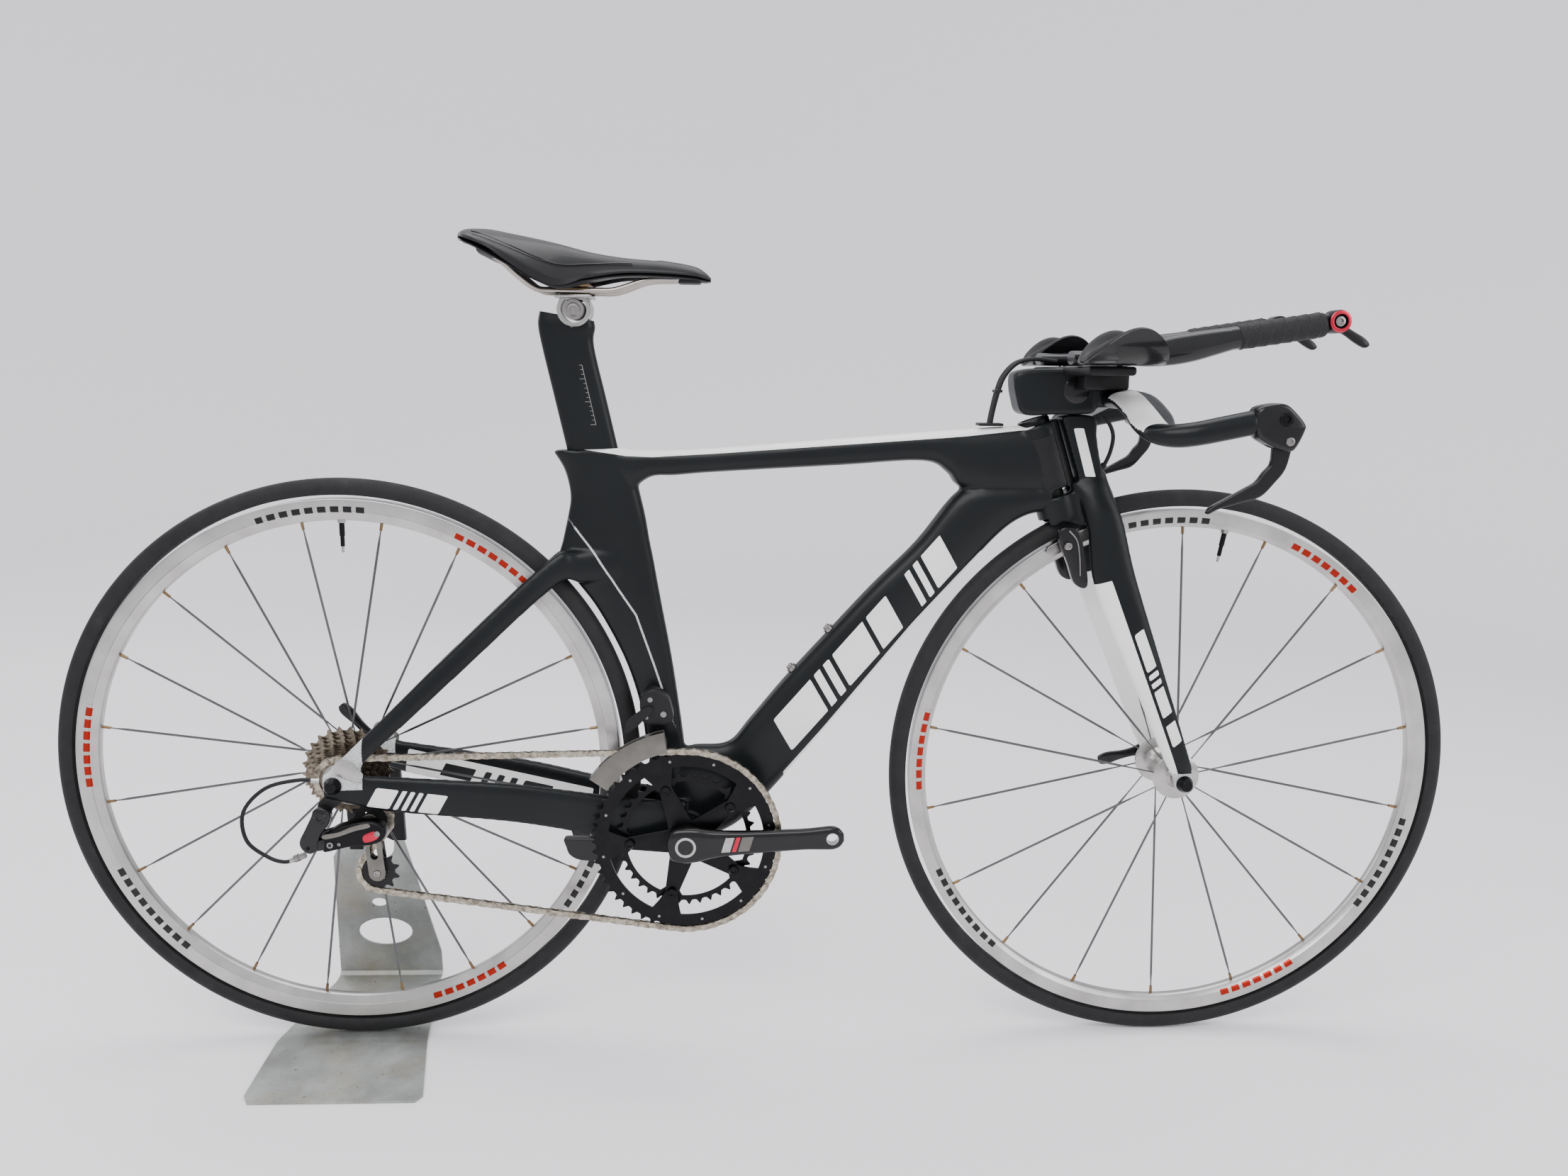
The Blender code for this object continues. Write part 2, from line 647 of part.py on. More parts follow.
def fork(pivot):
    crown = side_plate("fork", [
        (0.8110, 0.7500), (0.8460, 0.7500), (0.8500, 0.7200), (0.8560, 0.6950),
        (0.8660, 0.6740), (0.8720, 0.6540), (0.8500, 0.6300), (0.8160, 0.6300),
        (0.8150, 0.6630), (0.8300, 0.6650), (0.8335, 0.6750)], 0.0, 0.0200)
    fuse(crown, steer_rod("crown_disc", 0.6300, 0.6640, HEAD_RADIUS - 0.0002, 32))
    fuse(crown, steer_rod("steerer", 0.6500, 0.7455, 0.0120, 24))
    for side, label in ((-1.0, "fork_leg_right"), (1.0, "fork_leg_left")):
        fuse(crown, fork_leg(label, side))
    cut(crown, cross_rod("front_wheel_well", FRONT_AXLE, -0.0172, 0.0172, 0.3420, 64))
    cut(crown, box("front_axle_slot", (WHEELBASE - 0.0029, -0.09, 0.310),
                   (WHEELBASE + 0.0029, 0.09, TYRE_RADIUS + 0.0029)))
    return finish(crown, "fork", CARBON, pivot)


def stem(pivot):
    body = side_plate("stem", [
        (0.7515, 0.7920), (0.7570, 0.8000), (0.7750, 0.8035), (0.8380, 0.8040),
        (0.8465, 0.7950), (0.8465, 0.7525), (0.7605, 0.7505)][::-1], 0.0, 0.0220)
    soften(body, 0.004, 2)
    bridge = box("arm_rest_bridge", (0.8060, -0.1250, 0.7840), (0.8550, 0.1250, 0.8055))
    fuse(body, bridge)
    return finish(body, "stem", CARBON, pivot)


def base_bar(pivot):
    half = [((0.9505, 0.2000, 0.7520), 0.0120, 0.0120),
            ((0.9200, 0.2000, 0.7455), 0.0120, 0.0120),
            ((0.8860, 0.1970, 0.7385), 0.0120, 0.0120),
            ((0.8680, 0.1840, 0.7375), 0.0150, 0.0115),
            ((0.8650, 0.1600, 0.7440), 0.0215, 0.0100),
            ((0.8710, 0.1200, 0.7555), 0.0240, 0.0095),
            ((0.8745, 0.0650, 0.7685), 0.0255, 0.0110),
            ((0.8745, 0.0300, 0.7695), 0.0262, 0.0120)]
    stations = [((x, -y, z), a, b) for (x, y, z), a, b in half] + half[::-1]
    return finish(path_loft("base_bar", stations), "base_bar", CARBON, pivot)


def brake_hood(name, side, pivot):
    hood = side_plate(name, [
        (0.9513, 0.7625), (0.9540, 0.7395), (0.9678, 0.7293), (0.9826, 0.7238),
        (0.9890, 0.7275), (0.9964, 0.7496), (0.9798, 0.7672), (0.9660, 0.7690)],
        side * BAR_HALF_WIDTH, 0.0120)
    soften(hood, 0.003)
    cut(hood, box(name + "_slot", (0.9640, side * BAR_HALF_WIDTH - 0.0048, 0.7100),
                  (1.0100, side * BAR_HALF_WIDTH + 0.0048, 0.7450)))
    return finish(hood, name, GLOSS_BLACK, pivot)


def brake_lever(name, side, pivot):
    lever = side_plate(name, [
        (0.9706, 0.7290), (0.9669, 0.7072), (0.9549, 0.6933), (0.9337, 0.6813),
        (0.9106, 0.6675), (0.9088, 0.6610), (0.9152, 0.6656), (0.9429, 0.6739),
        (0.9604, 0.6790), (0.9687, 0.6890), (0.9835, 0.7060), (0.9890, 0.7290),
        (0.9885, 0.7370), (0.9817, 0.7405), (0.9750, 0.7370)],
        side * BAR_HALF_WIDTH, 0.0042)
    soften(lever, 0.0012)
    return finish(lever, name, GLOSS_BLACK, pivot)


def extension(name, side, pivot):
    y = side * EXTENSION_Y
    stations = [((0.8000, y, 0.8138), 0.0150, 0.0072), ((0.8450, y, 0.8142), 0.0150, 0.0076),
                ((0.8850, y, 0.8190), 0.0140, 0.0135), ((0.9150, y, 0.8235), 0.0140, 0.0160),
                ((0.9500, y, 0.8315), 0.0130, 0.0150), ((0.9740, y, 0.8365), 0.0125, 0.0125),
                ((0.9820, y, 0.8380), 0.0138, 0.0138), ((1.0400, y, 0.8480), 0.0138, 0.0138),
                ((1.0700, y, 0.8520), 0.0128, 0.0128), ((1.0730, y, 0.8523), 0.0100, 0.0100)]
    bar = path_loft(name, stations)
    fuse(bar, cross_rod(name + "_pod", (1.0846, 0.8553), y - 0.0085, y + 0.0125, 0.0125, 20)
         if side > 0 else
         cross_rod(name + "_pod", (1.0846, 0.8553), y - 0.0125, y + 0.0085, 0.0125, 20))
    return finish(bar, name, CARBON, pivot)


def shift_lever(name, side, pivot):
    """Flat paddle on the inner side of the pod."""
    y = side * (EXTENSION_Y - 0.0108)
    lever = side_plate(name, [
        *arc((1.0846, 0.8553), 0.0080, 40.0, 290.0, 9), (1.1050, 0.8390), (1.1250, 0.8290),
        (1.1290, 0.8330), (1.1240, 0.8385), (1.1000, 0.8530)], y, 0.0020)
    return finish(lever, name, GLOSS_BLACK, pivot)


def trough(name, radius, thickness, spread, side):
    """Open channel along X, an arc seen from the front."""
    outline = []
    for r, order in ((radius, 1), (radius - thickness, -1)):
        ring = []
        for k in range(13):
            angle = math.radians(-spread + 2.0 * spread * k / 12)
            ring.append((side * REST_Y + r * math.sin(angle), REST_AXIS_Z - r * math.cos(angle)))
        outline += ring[::order]
    obj = flat_curve(name, [outline], 0.050)
    obj.matrix_world = (Matrix.Translation((0.838, 0.0, 0.0))
                        @ Matrix.Rotation(math.pi / 2.0, 4, 'Z')
                        @ Matrix.Rotation(math.pi / 2.0, 4, 'X'))
    return mesh_from_curve(obj, flat_caps=True)


ARM_REST_SIDE = ((0.7950, 0.8000), (0.8800, 0.8000), (0.8800, 0.8250), (0.8730, 0.8400),
                 (0.8600, 0.8480), (0.8400, 0.8470), (0.8150, 0.8320), (0.7970, 0.8120))


def arm_rest(name, side, pivot, pad):
    depth = REST_RADIUS - 0.003 - GAP if pad else REST_RADIUS
    piece = trough(name, depth, 0.010 if pad else 0.003, 72.0, side)
    keep_inside(piece, side_plate(name + "_outline", list(ARM_REST_SIDE),
                                  side * REST_Y, 0.070))
    return finish(piece, name, FOAM if pad else CARBON, pivot)


# ---------------------------------------------------------------- wheels
def tyre(name, axle, pivot):
    middle = TYRE_RADIUS - TYRE_HALF
    profile = [(RIM_OUTER + GAP, -0.0080)]
    for degrees in (-95.0, -45.0, 0.0, 45.0, 95.0):
        a = math.radians(degrees)
        profile.append((middle + TYRE_HALF * math.cos(a), TYRE_HALF * math.sin(a)))
    profile.append((RIM_OUTER + GAP, 0.0080))
    return finish(turned(name, profile, axle, RING_STEPS), name, RUBBER, pivot)


def rim(name, axle, inner, pivot):
    profile = [(inner, -0.0045), (inner + 0.0100, -RIM_HALF), (RIM_OUTER, -RIM_HALF),
               (RIM_OUTER, RIM_HALF), (inner + 0.0100, RIM_HALF), (inner, 0.0045)]
    return finish(turned(name, profile, axle, RING_STEPS), name, SILVER, pivot)


def spoke_set(name, axle, count, first, reach, flanges, flange_radius):
    """All spokes of a wheel, as separate closed bars ready to be fused to the hub."""
    bm = bmesh.new()
    for k in range(count):
        angle = math.radians(first + 360.0 * k / count)
        out = Vector((math.cos(angle), 0.0, math.sin(angle)))
        centre = Vector((axle[0], 0.0, axle[1]))
        inner = centre + out * flange_radius + Vector((0.0, flanges[k % 2], 0.0))
        outer = centre + out * reach
        along = outer - inner
        made = bmesh.ops.create_cone(bm, cap_ends=True, segments=4, radius1=0.0012,
                                     radius2=0.0012, depth=along.length)
        turn = along.to_track_quat('Z', 'Y').to_matrix().to_4x4()
        bmesh.ops.transform(bm, matrix=Matrix.Translation((inner + outer) / 2.0) @ turn,
                            verts=made["verts"])
    return object_from(name, bm)


def front_hub(pivot):
    end = FRONT_OVER_LOCKNUTS / 2.0 - GAP
    profile = [(0.0032, -end), (0.0090, -end), (0.0100, -0.0380), (0.0270, -0.0340),
               (0.0270, -0.0300), (0.0140, -0.0240), (0.0140, 0.0240), (0.0270, 0.0300),
               (0.0270, 0.0340), (0.0100, 0.0380), (0.0090, end), (0.0032, end)]
    hub = turned("front_hub", profile, FRONT_AXLE, 20)
    fuse(hub, spoke_set("front_spokes", FRONT_AXLE, 18, 10.0, 0.2890, (-0.032, 0.032), 0.022))
    return finish(hub, "front_hub", SILVER, pivot)


def rear_hub(pivot):
    end = REAR_OVER_LOCKNUTS / 2.0 - 0.0014
    profile = [(0.0032, -end), (0.0090, -end), (0.0090, -0.0585), (0.0168, -0.0580),
               (0.0168, -0.0190), (0.0260, -0.0180), (0.0260, -0.0140), (0.0140, -0.0080),
               (0.0140, 0.0280), (0.0230, 0.0340), (0.0230, 0.0380), (0.0100, 0.0440),
               (0.0090, end), (0.0032, end)]
    hub = turned("rear_hub", profile, REAR_AXLE, 20)
    fuse(hub, spoke_set("rear_spokes", REAR_AXLE, 20, 9.0, 0.2850, (-0.016, 0.036), 0.020))
    return finish(hub, "rear_hub", SILVER, pivot)


def skewer(name, axle, right_face, left_face, pivot=None):
    """Thin rod with a nut on the drive side and the cam body on the far side."""
    nut_end = right_face - 0.0105
    cam_end = left_face + 0.0105
    profile = [(0.0, nut_end), (0.0085, nut_end), (0.0100, right_face - 0.0005),
               (0.0025, right_face), (0.0025, left_face), (0.0090, left_face + 0.0005),
               (0.0085, cam_end), (0.0, cam_end)]
    return finish(turned(name, profile, axle, 16, closed=False), name, GLOSS_BLACK, pivot)


def release_lever(name, axle, y, heading, pivot):
    """Quick-release lever lying flat, pointing away from the axle."""
    angle = math.radians(heading)
    out = Vector((math.cos(angle), 0.0, math.sin(angle)))
    up = Vector((-math.sin(angle), 0.0, math.cos(angle)))
    rings = []
    for reach, half, bow in ((-0.0030, 0.0045, 0.0), (0.0120, 0.0060, 0.0),
                             (0.0380, 0.0070, 0.0020), (0.0580, 0.0062, 0.0000),
                             (0.0620, 0.0040, 0.0)):
        centre = Vector((axle[0], y + bow, axle[1])) + out * reach
        rings.append(rounded_section(centre, up, Vector((0.0, 1.0, 0.0)), half, 0.0030, 10, 2.6))
    return finish(skin(name, rings), name, GLOSS_BLACK, pivot)


# ---------------------------------------------------------------- drive train
def lobed(radius, lobe_radius, sharpness):
    """Five-lobed outline round the crank centre, with lobes at the chainring bolts."""
    points = []
    for k in range(50):
        angle = FIRST_BOLT + 2.0 * math.pi * k / 50
        lobe = abs(math.cos(2.5 * (angle - FIRST_BOLT))) ** sharpness
        r = radius + (lobe_radius - radius) * lobe
        points.append((CRANK_CENTRE[0] + r * math.cos(angle),
                       CRANK_CENTRE[1] + r * math.sin(angle)))
    return points


def toothed(centre, teeth, root, tip):
    """Sprocket outline with pointed teeth."""
    points = []
    for k in range(2 * teeth):
        angle = math.pi * k / teeth
        r = tip if k % 2 else root
        points.append((centre[0] + r * math.cos(angle), centre[1] + r * math.sin(angle)))
    return points


def chainring(name, teeth, y, inner, pivot):
    pitch_radius = roller_radius(teeth)
    outer = toothed(CRANK_CENTRE, teeth, pitch_radius - 0.0040, pitch_radius - 0.0014)
    ring = side_plate(name, outer, y, 0.0009, holes=[lobed(inner, BOLT_CIRCLE - 0.0065, 8)])
    return finish(ring, name, CARBON if teeth == BIG_RING_TEETH else SILVER, pivot)


def crank_eye(angle):
    return (CRANK_CENTRE[0] + CRANK_LENGTH * math.cos(angle),
            CRANK_CENTRE[1] + CRANK_LENGTH * math.sin(angle))


def crank_right(pivot):
    eye = crank_eye(CRANK_ANGLE)
    arm = side_plate("crank_right", capsule(CRANK_CENTRE, 0.0210, eye, 0.0140), -0.0605, 0.0060)
    soften(arm, 0.0025)
    fuse(arm, cross_rod("spider_boss", CRANK_CENTRE, -0.0555, -0.0415, 0.0200, 28))
    fuse(arm, side_plate("spider", lobed(0.0230, 0.0720, 6), -0.0435, 0.0020))
    cut(arm, cross_rod("right_pedal_eye", eye, -0.08, -0.05, 0.0070, 20))
    return finish(arm, "crank_right", GLOSS_BLACK, pivot)


def crank_left(pivot):
    eye = crank_eye(CRANK_ANGLE + math.pi)
    arm = side_plate("crank_left", capsule(CRANK_CENTRE, 0.0210, eye, 0.0140), 0.0605, 0.0060)
    soften(arm, 0.0025)
    fuse(arm, cross_rod("spindle", CRANK_CENTRE, -0.0405, 0.0600, SPINDLE_RADIUS, 24))
    fuse(arm, cross_rod("left_boss", CRANK_CENTRE, 0.0410, 0.0560, 0.0180, 24))
    cut(arm, cross_rod("left_pedal_eye", eye, 0.05, 0.08, 0.0070, 20))
    return finish(arm, "crank_left", GLOSS_BLACK, pivot)


def cassette(pivot):
    profile = [(0.0173, FIRST_COG_Y - 0.0008)]
    for k, teeth in enumerate(COGS):
        y = FIRST_COG_Y + k * COG_SPACING
        r = roller_radius(teeth) - 0.0020
        profile.append((r, y - 0.0008))
        profile.append((r, y + 0.0010))
        if k == 0:
            profile.append((r - 0.0040, y + 0.0010))
            profile.append((r - 0.0040, y + COG_SPACING - 0.0008))
    profile.append((0.0173, profile[-1][1]))
    return finish(turned("cassette", profile, REAR_AXLE, 20), "cassette", COG_METAL, pivot)


def belt_route(wheels):
    """Closed route round (centre, radius, y, sense) wheels, with sense +1 anticlockwise."""
    count = len(wheels)
    normals = []
    for i in range(count):
        (c0, r0, _, s0), (c1, r1, _, s1) = wheels[i], wheels[(i + 1) % count]
        dx, dz = c1[0] - c0[0], c1[1] - c0[1]
        heading = math.atan2(dz, dx) + math.asin((s0 * r0 - s1 * r1) / math.hypot(dx, dz))
        normals.append((math.sin(heading), -math.cos(heading)))
    route = []
    for i, (centre, radius, y, sense) in enumerate(wheels):
        arrive, leave = normals[i - 1], normals[i]
        a0 = math.atan2(sense * arrive[1], sense * arrive[0])
        a1 = math.atan2(sense * leave[1], sense * leave[0])
        sweep = (sense * (a1 - a0)) % (2.0 * math.pi)
        steps = max(3, math.ceil(sweep / math.radians(20.0 if radius < 0.05 else 12.0)))
        for k in range(steps + 1):
            a = a0 + sense * sweep * k / steps
            route.append(Vector((centre[0] + radius * math.cos(a), y,
                                 centre[1] + radius * math.sin(a))))
    return route


def chain():
    wheels = [(REAR_AXLE, roller_radius(COGS[0]), FIRST_COG_Y, 1.0),
              (GUIDE_PULLEY, roller_radius(PULLEY_TEETH), FIRST_COG_Y, -1.0),
              (TENSION_PULLEY, roller_radius(PULLEY_TEETH), FIRST_COG_Y, 1.0),
              (CRANK_CENTRE, roller_radius(BIG_RING_TEETH), BIG_RING_Y, 1.0)]
    route = belt_route(wheels)
    out, tall, wall, web = 0.0028, 0.00425, 0.0018, 0.0004
    section = [(-out, -tall), (-wall, -tall), (-wall, -web), (wall, -web), (wall, -tall),
               (out, -tall), (out, tall), (wall, tall), (wall, web), (-wall, web),
               (-wall, tall), (-out, tall)]
    rings = []
    for i, point in enumerate(route):
        along = (route[(i + 1) % len(route)] - route[i - 1]).normalized()
        side = Vector((0.0, 1.0, 0.0))
        up = along.cross(side).normalized()
        rings.append([point + side * u + up * v for u, v in section])
    return finish(skin("chain", rings, ring_closed=True), "chain", CHAIN_METAL)


def pulley(name, centre, pivot):
    r = roller_radius(PULLEY_TEETH)
    bore = arc(centre, 0.0032, 0.0, 337.5, 16)
    wheel = side_plate(name, toothed(centre, PULLEY_TEETH, r - 0.0040, r - 0.0010),
                       FIRST_COG_Y, 0.0011, holes=[bore])
    return finish(wheel, name, RUBBER, pivot)


def derailleur_cage(pivot):
    outline = capsule(GUIDE_PULLEY, 0.0095, TENSION_PULLEY, 0.0095)
    cage = side_plate("derailleur_cage", outline, -0.0628, 0.0006)
    fuse(cage, side_plate("inner_cage_plate", outline, -0.0506, 0.0006))
    for centre, label in ((GUIDE_PULLEY, "guide_pin"), (TENSION_PULLEY, "tension_pin")):
        fuse(cage, cross_rod(label, centre, -0.0630, -0.0504, 0.0027, 12))
    return finish(cage, "derailleur_cage", SILVER, pivot)


def derailleur_knuckle():
    """Fixed block on the hanger bolt, behind and below the dropout."""
    outline = capsule((-0.0130, 0.3050), 0.0110, (-0.0270, 0.2730), 0.0105)
    return finish(soften(side_plate("derailleur_knuckle", outline, -0.0790, 0.0060), 0.002),
                  "derailleur_knuckle", GLOSS_BLACK)


def rear_derailleur(pivot):
    """Outer block and parallelogram, which move together."""
    body = side_plate("rear_derailleur", [
        (-0.0120, 0.2620), (0.0100, 0.2690), (0.0400, 0.2720), (0.0570, 0.2800),
        (0.0560, 0.2920), (0.0450, 0.3000), (0.0200, 0.2980), (0.0020, 0.2930),
        (-0.0120, 0.2820)], -0.0745, 0.0090)
    soften(body, 0.003)
    return finish(body, "rear_derailleur", GLOSS_BLACK, pivot)


def front_derailleur():
    body = side_plate("front_derailleur", [
        (0.3380, 0.3980), (0.3660, 0.3965), (0.3740, 0.4040), (0.3680, 0.4300),
        (0.3470, 0.4400), (0.3340, 0.4250)], -0.0252, 0.0120)
    soften(body, 0.003)
    return finish(body, "front_derailleur", GLOSS_BLACK)


def front_cage(pivot):
    def band(inner, outer, start, end, count):
        return (arc(CRANK_CENTRE, outer, start, end, count)
                + arc(CRANK_CENTRE, inner, end, start, count))
    cage = side_plate("front_cage", band(0.1095, 0.1330, 100.0, 146.0, 9), -0.0533, 0.0005)
    fuse(cage, side_plate("inner_cage", band(0.1095, 0.1330, 100.0, 146.0, 9), -0.0410, 0.0005))
    fuse(cage, side_plate("cage_bridge", band(0.1310, 0.1330, 100.0, 112.0, 4), -0.0471, 0.0064))
    return finish(cage, "front_cage", SILVER, pivot)


# ---------------------------------------------------------------- brakes and cables
def brake_arm(name, outline, y, pad_centre, pad_reach, side, pivot):
    """Caliper arm with its shoe facing the rim."""
    arm = side_plate(name, outline, side * y, 0.0060)
    soften(arm, 0.002)
    half = Vector((0.016 * pad_reach[0], 0.0, 0.016 * pad_reach[1]))
    middle = Vector((pad_centre[0], 0.0, pad_centre[1]))
    shoe = side_plate(name + "_shoe",
                      capsule(((middle - half).x, (middle - half).z), 0.0050,
                              ((middle + half).x, (middle + half).z), 0.0050, 5),
                      side * 0.0152, 0.0036)
    fuse(arm, shoe)
    fuse(arm, cross_rod(name + "_stud", pad_centre, side * 0.0132, side * (y + 0.001),
                        0.0035, 12))
    return finish(arm, name, GLOSS_BLACK, pivot)


FRONT_ARM = ((0.8430, 0.5600), (0.8365, 0.6000), (0.8315, 0.6200), (0.8240, 0.6270),
             (0.8120, 0.6280), (0.8060, 0.6220), (0.8080, 0.6080), (0.8180, 0.5850),
             (0.8270, 0.5620))
REAR_ARM = ((0.3050, 0.2420), (0.3000, 0.2560), (0.2450, 0.2585), (0.2500, 0.2400),
            (0.2620, 0.2310), (0.2900, 0.2310))


def cable_bundle():
    routes = [[(0.8020, y, 0.8105), (0.7780, y, 0.8130), (0.7580, y, 0.8085),
               (0.7440, y, 0.7940), (0.7375, 0.8 * y, 0.7770), (0.7325 + y / 2, y, 0.7550),
               (0.7300 + y, y, 0.7395)] for y in (-0.0065, 0.0, 0.0065)]
    grommet = box("cable_bundle", (0.7160, -0.0115, 0.7386), (0.7440, 0.0115, 0.7412))
    fuse(grommet, box("cable_tie", (0.7335, -0.0085, 0.7755), (0.7415, 0.0085, 0.7785)))
    for k, route in enumerate(routes):
        fuse(grommet, wire("housing_%d" % k, route, 0.0024, steps=2))
    return finish(grommet, "cable_bundle", GLOSS_BLACK)


def front_brake_cable(pivot):
    route = [(0.8550, -0.010, 0.7500), (0.8645, -0.010, 0.7420), (0.8700, -0.009, 0.7280),
             (0.8685, -0.007, 0.7110), (0.8620, -0.006, 0.6960)]
    return finish(wire("front_brake_cable", route, 0.0024, steps=2), "front_brake_cable",
                  GLOSS_BLACK, pivot)


def derailleur_cable():
    route = [(-0.0160, -0.0705, 0.3430), (-0.0400, -0.0715, 0.3440), (-0.0750, -0.0730, 0.3350),
             (-0.1000, -0.0740, 0.3080), (-0.0980, -0.0745, 0.2750), (-0.0760, -0.0745, 0.2560),
             (-0.0570, -0.0770, 0.2510), (-0.0420, -0.0785, 0.2560)]
    return finish(wire("derailleur_cable", route, 0.0024, steps=2), "derailleur_cable",
                  GLOSS_BLACK)


# ---------------------------------------------------------------- assembly
def build_stand():
    stand_plate()
    stand_hook()


def build_frame():
    top_tube()
    down_tube()
    seat_tube()
    head_tube()
    for side, label in ((-1.0, "right"), (1.0, "left")):
        chain_stay("chain_stay_" + label, side)
        seat_stay("seat_stay_" + label, side)
    front_derailleur()
    derailleur_knuckle()
    cable_bundle()
    derailleur_cable()
    chain()
    skewer("rear_skewer", REAR_AXLE, -0.0772, 0.0772)


def build_saddle():
    post_pivot = new_pivot("post_slide", 0.2820, 0.0, 0.7080)
    tilt = new_pivot("saddle_tilt", SEAT_RING[0], 0.0, SEAT_RING[1])
    seatpost(post_pivot)
    seat_clamp(tilt)
    saddle_rails(tilt)
    saddle_layer("saddle_shell", GLOSS_BLACK, tilt, pad=False)
    saddle_layer("saddle_pad", FOAM, tilt, pad=True)


def build_cockpit():
    steering = new_pivot("steering", STEER_POINT[0], 0.0, STEER_POINT[1])
    fork(steering)
    stem(steering)
    base_bar(steering)
    front_brake_cable(steering)
    skewer("front_skewer", FRONT_AXLE, -0.0612, 0.0612, steering)
    for side, label in ((-1.0, "right"), (1.0, "left")):
        brake_hood("brake_hood_" + label, side, steering)
        lever_pivot = new_pivot("lever_pivot_" + label, LEVER_PIVOT[0],
                                side * BAR_HALF_WIDTH, LEVER_PIVOT[1])
        brake_lever("brake_lever_" + label, side, lever_pivot)
        extension("extension_" + label, side, steering)
        shift_pivot = new_pivot("shift_pivot_" + label, 1.0846, side * EXTENSION_Y, 0.8553)
        shift_lever("shift_lever_" + label, side, shift_pivot)
        arm_rest("arm_rest_" + label, side, steering, pad=False)
        arm_rest("arm_pad_" + label, side, steering, pad=True)
        arm_pivot = new_pivot("front_brake_pivot_" + label, 0.8350, side * 0.0305, 0.5680)
        brake_arm("front_brake_" + label, list(FRONT_ARM), 0.0305, (0.8170, 0.6060),
                  (0.88, 0.47), side, arm_pivot)
    lever = new_pivot("front_release_pivot", FRONT_AXLE[0], 0.0765, FRONT_AXLE[1])
    release_lever("front_release", FRONT_AXLE, 0.0765, 193.0, lever)


def build_wheels():
    front = new_pivot("front_axle", FRONT_AXLE[0], 0.0, FRONT_AXLE[1])
    tyre("front_tyre", FRONT_AXLE, front)
    rim("front_rim", FRONT_AXLE, 0.2900, front)
    front_hub(front)
    rear = new_pivot("rear_axle", REAR_AXLE[0], 0.0, REAR_AXLE[1])
    tyre("rear_tyre", REAR_AXLE, rear)
    rim("rear_rim", REAR_AXLE, 0.2860, rear)
    rear_hub(rear)
    cassette(rear)
    lever = new_pivot("rear_release_pivot", REAR_AXLE[0], 0.0927, REAR_AXLE[1])
    release_lever("rear_release", REAR_AXLE, 0.0927, 130.0, lever)


def build_drive():
    crank = new_pivot("crank_axis", CRANK_CENTRE[0], 0.0, CRANK_CENTRE[1])
    crank_right(crank)
    crank_left(crank)
    chainring("chainring_large", BIG_RING_TEETH, BIG_RING_Y, 0.0890, crank)
    chainring("chainring_small", SMALL_RING_TEETH, SMALL_RING_Y, 0.0690, crank)
    shift = new_pivot("derailleur_shift", -0.0120, 0.0, 0.3060)
    rear_derailleur(shift)
    swing = new_pivot("cage_swing", GUIDE_PULLEY[0], FIRST_COG_Y, GUIDE_PULLEY[1])
    derailleur_cage(swing)
    pulley("guide_pulley", GUIDE_PULLEY, swing)
    tension = new_pivot("tension_axis", TENSION_PULLEY[0], FIRST_COG_Y, TENSION_PULLEY[1])
    pulley("tension_pulley", TENSION_PULLEY, tension)
    front_shift = new_pivot("front_shift", 0.3540, -0.0250, 0.4150)
    front_cage(front_shift)
    for side, label in ((-1.0, "right"), (1.0, "left")):
        arm_pivot = new_pivot("rear_brake_pivot_" + label, 0.2560, side * 0.0245, 0.2450)
        brake_arm("rear_brake_" + label, list(REAR_ARM), 0.0245, (0.2930, 0.2460),
                  (0.3025, 0.9531), side, arm_pivot)


build_stand()
build_frame()
build_saddle()
build_cockpit()
build_wheels()
build_drive()
bpy.context.view_layer.update()
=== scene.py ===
"""Looks for the time-trial bicycle on its sheet-steel stand.

Shapes are drawn in the bicycle's own frame, with the rear axle at x = 0, and settle()
moves them into the row.  A side view is (x, z); the drive side and the camera are at -y.
"""
import math

import bmesh
import bpy
from mathutils import Matrix, Vector


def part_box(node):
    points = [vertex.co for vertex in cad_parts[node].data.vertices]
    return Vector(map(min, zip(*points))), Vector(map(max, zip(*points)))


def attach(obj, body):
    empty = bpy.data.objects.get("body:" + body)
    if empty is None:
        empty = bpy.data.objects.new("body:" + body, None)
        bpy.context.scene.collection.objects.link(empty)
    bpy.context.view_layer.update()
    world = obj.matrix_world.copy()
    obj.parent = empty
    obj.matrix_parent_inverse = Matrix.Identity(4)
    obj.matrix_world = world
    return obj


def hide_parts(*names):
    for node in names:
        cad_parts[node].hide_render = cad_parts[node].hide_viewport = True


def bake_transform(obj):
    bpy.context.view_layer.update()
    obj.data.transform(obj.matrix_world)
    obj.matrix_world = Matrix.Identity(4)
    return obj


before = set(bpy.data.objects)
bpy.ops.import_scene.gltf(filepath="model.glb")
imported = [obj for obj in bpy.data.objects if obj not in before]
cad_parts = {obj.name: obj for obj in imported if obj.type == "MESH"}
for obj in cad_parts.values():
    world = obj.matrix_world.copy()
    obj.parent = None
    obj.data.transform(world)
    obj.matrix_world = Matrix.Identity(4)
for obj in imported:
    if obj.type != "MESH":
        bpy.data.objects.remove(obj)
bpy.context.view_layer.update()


# ---------------------------------------------------------------- places read from the frame
def middle(node):
    """Middle of a CAD node's box."""
    low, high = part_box(node)
    return (low + high) / 2.0


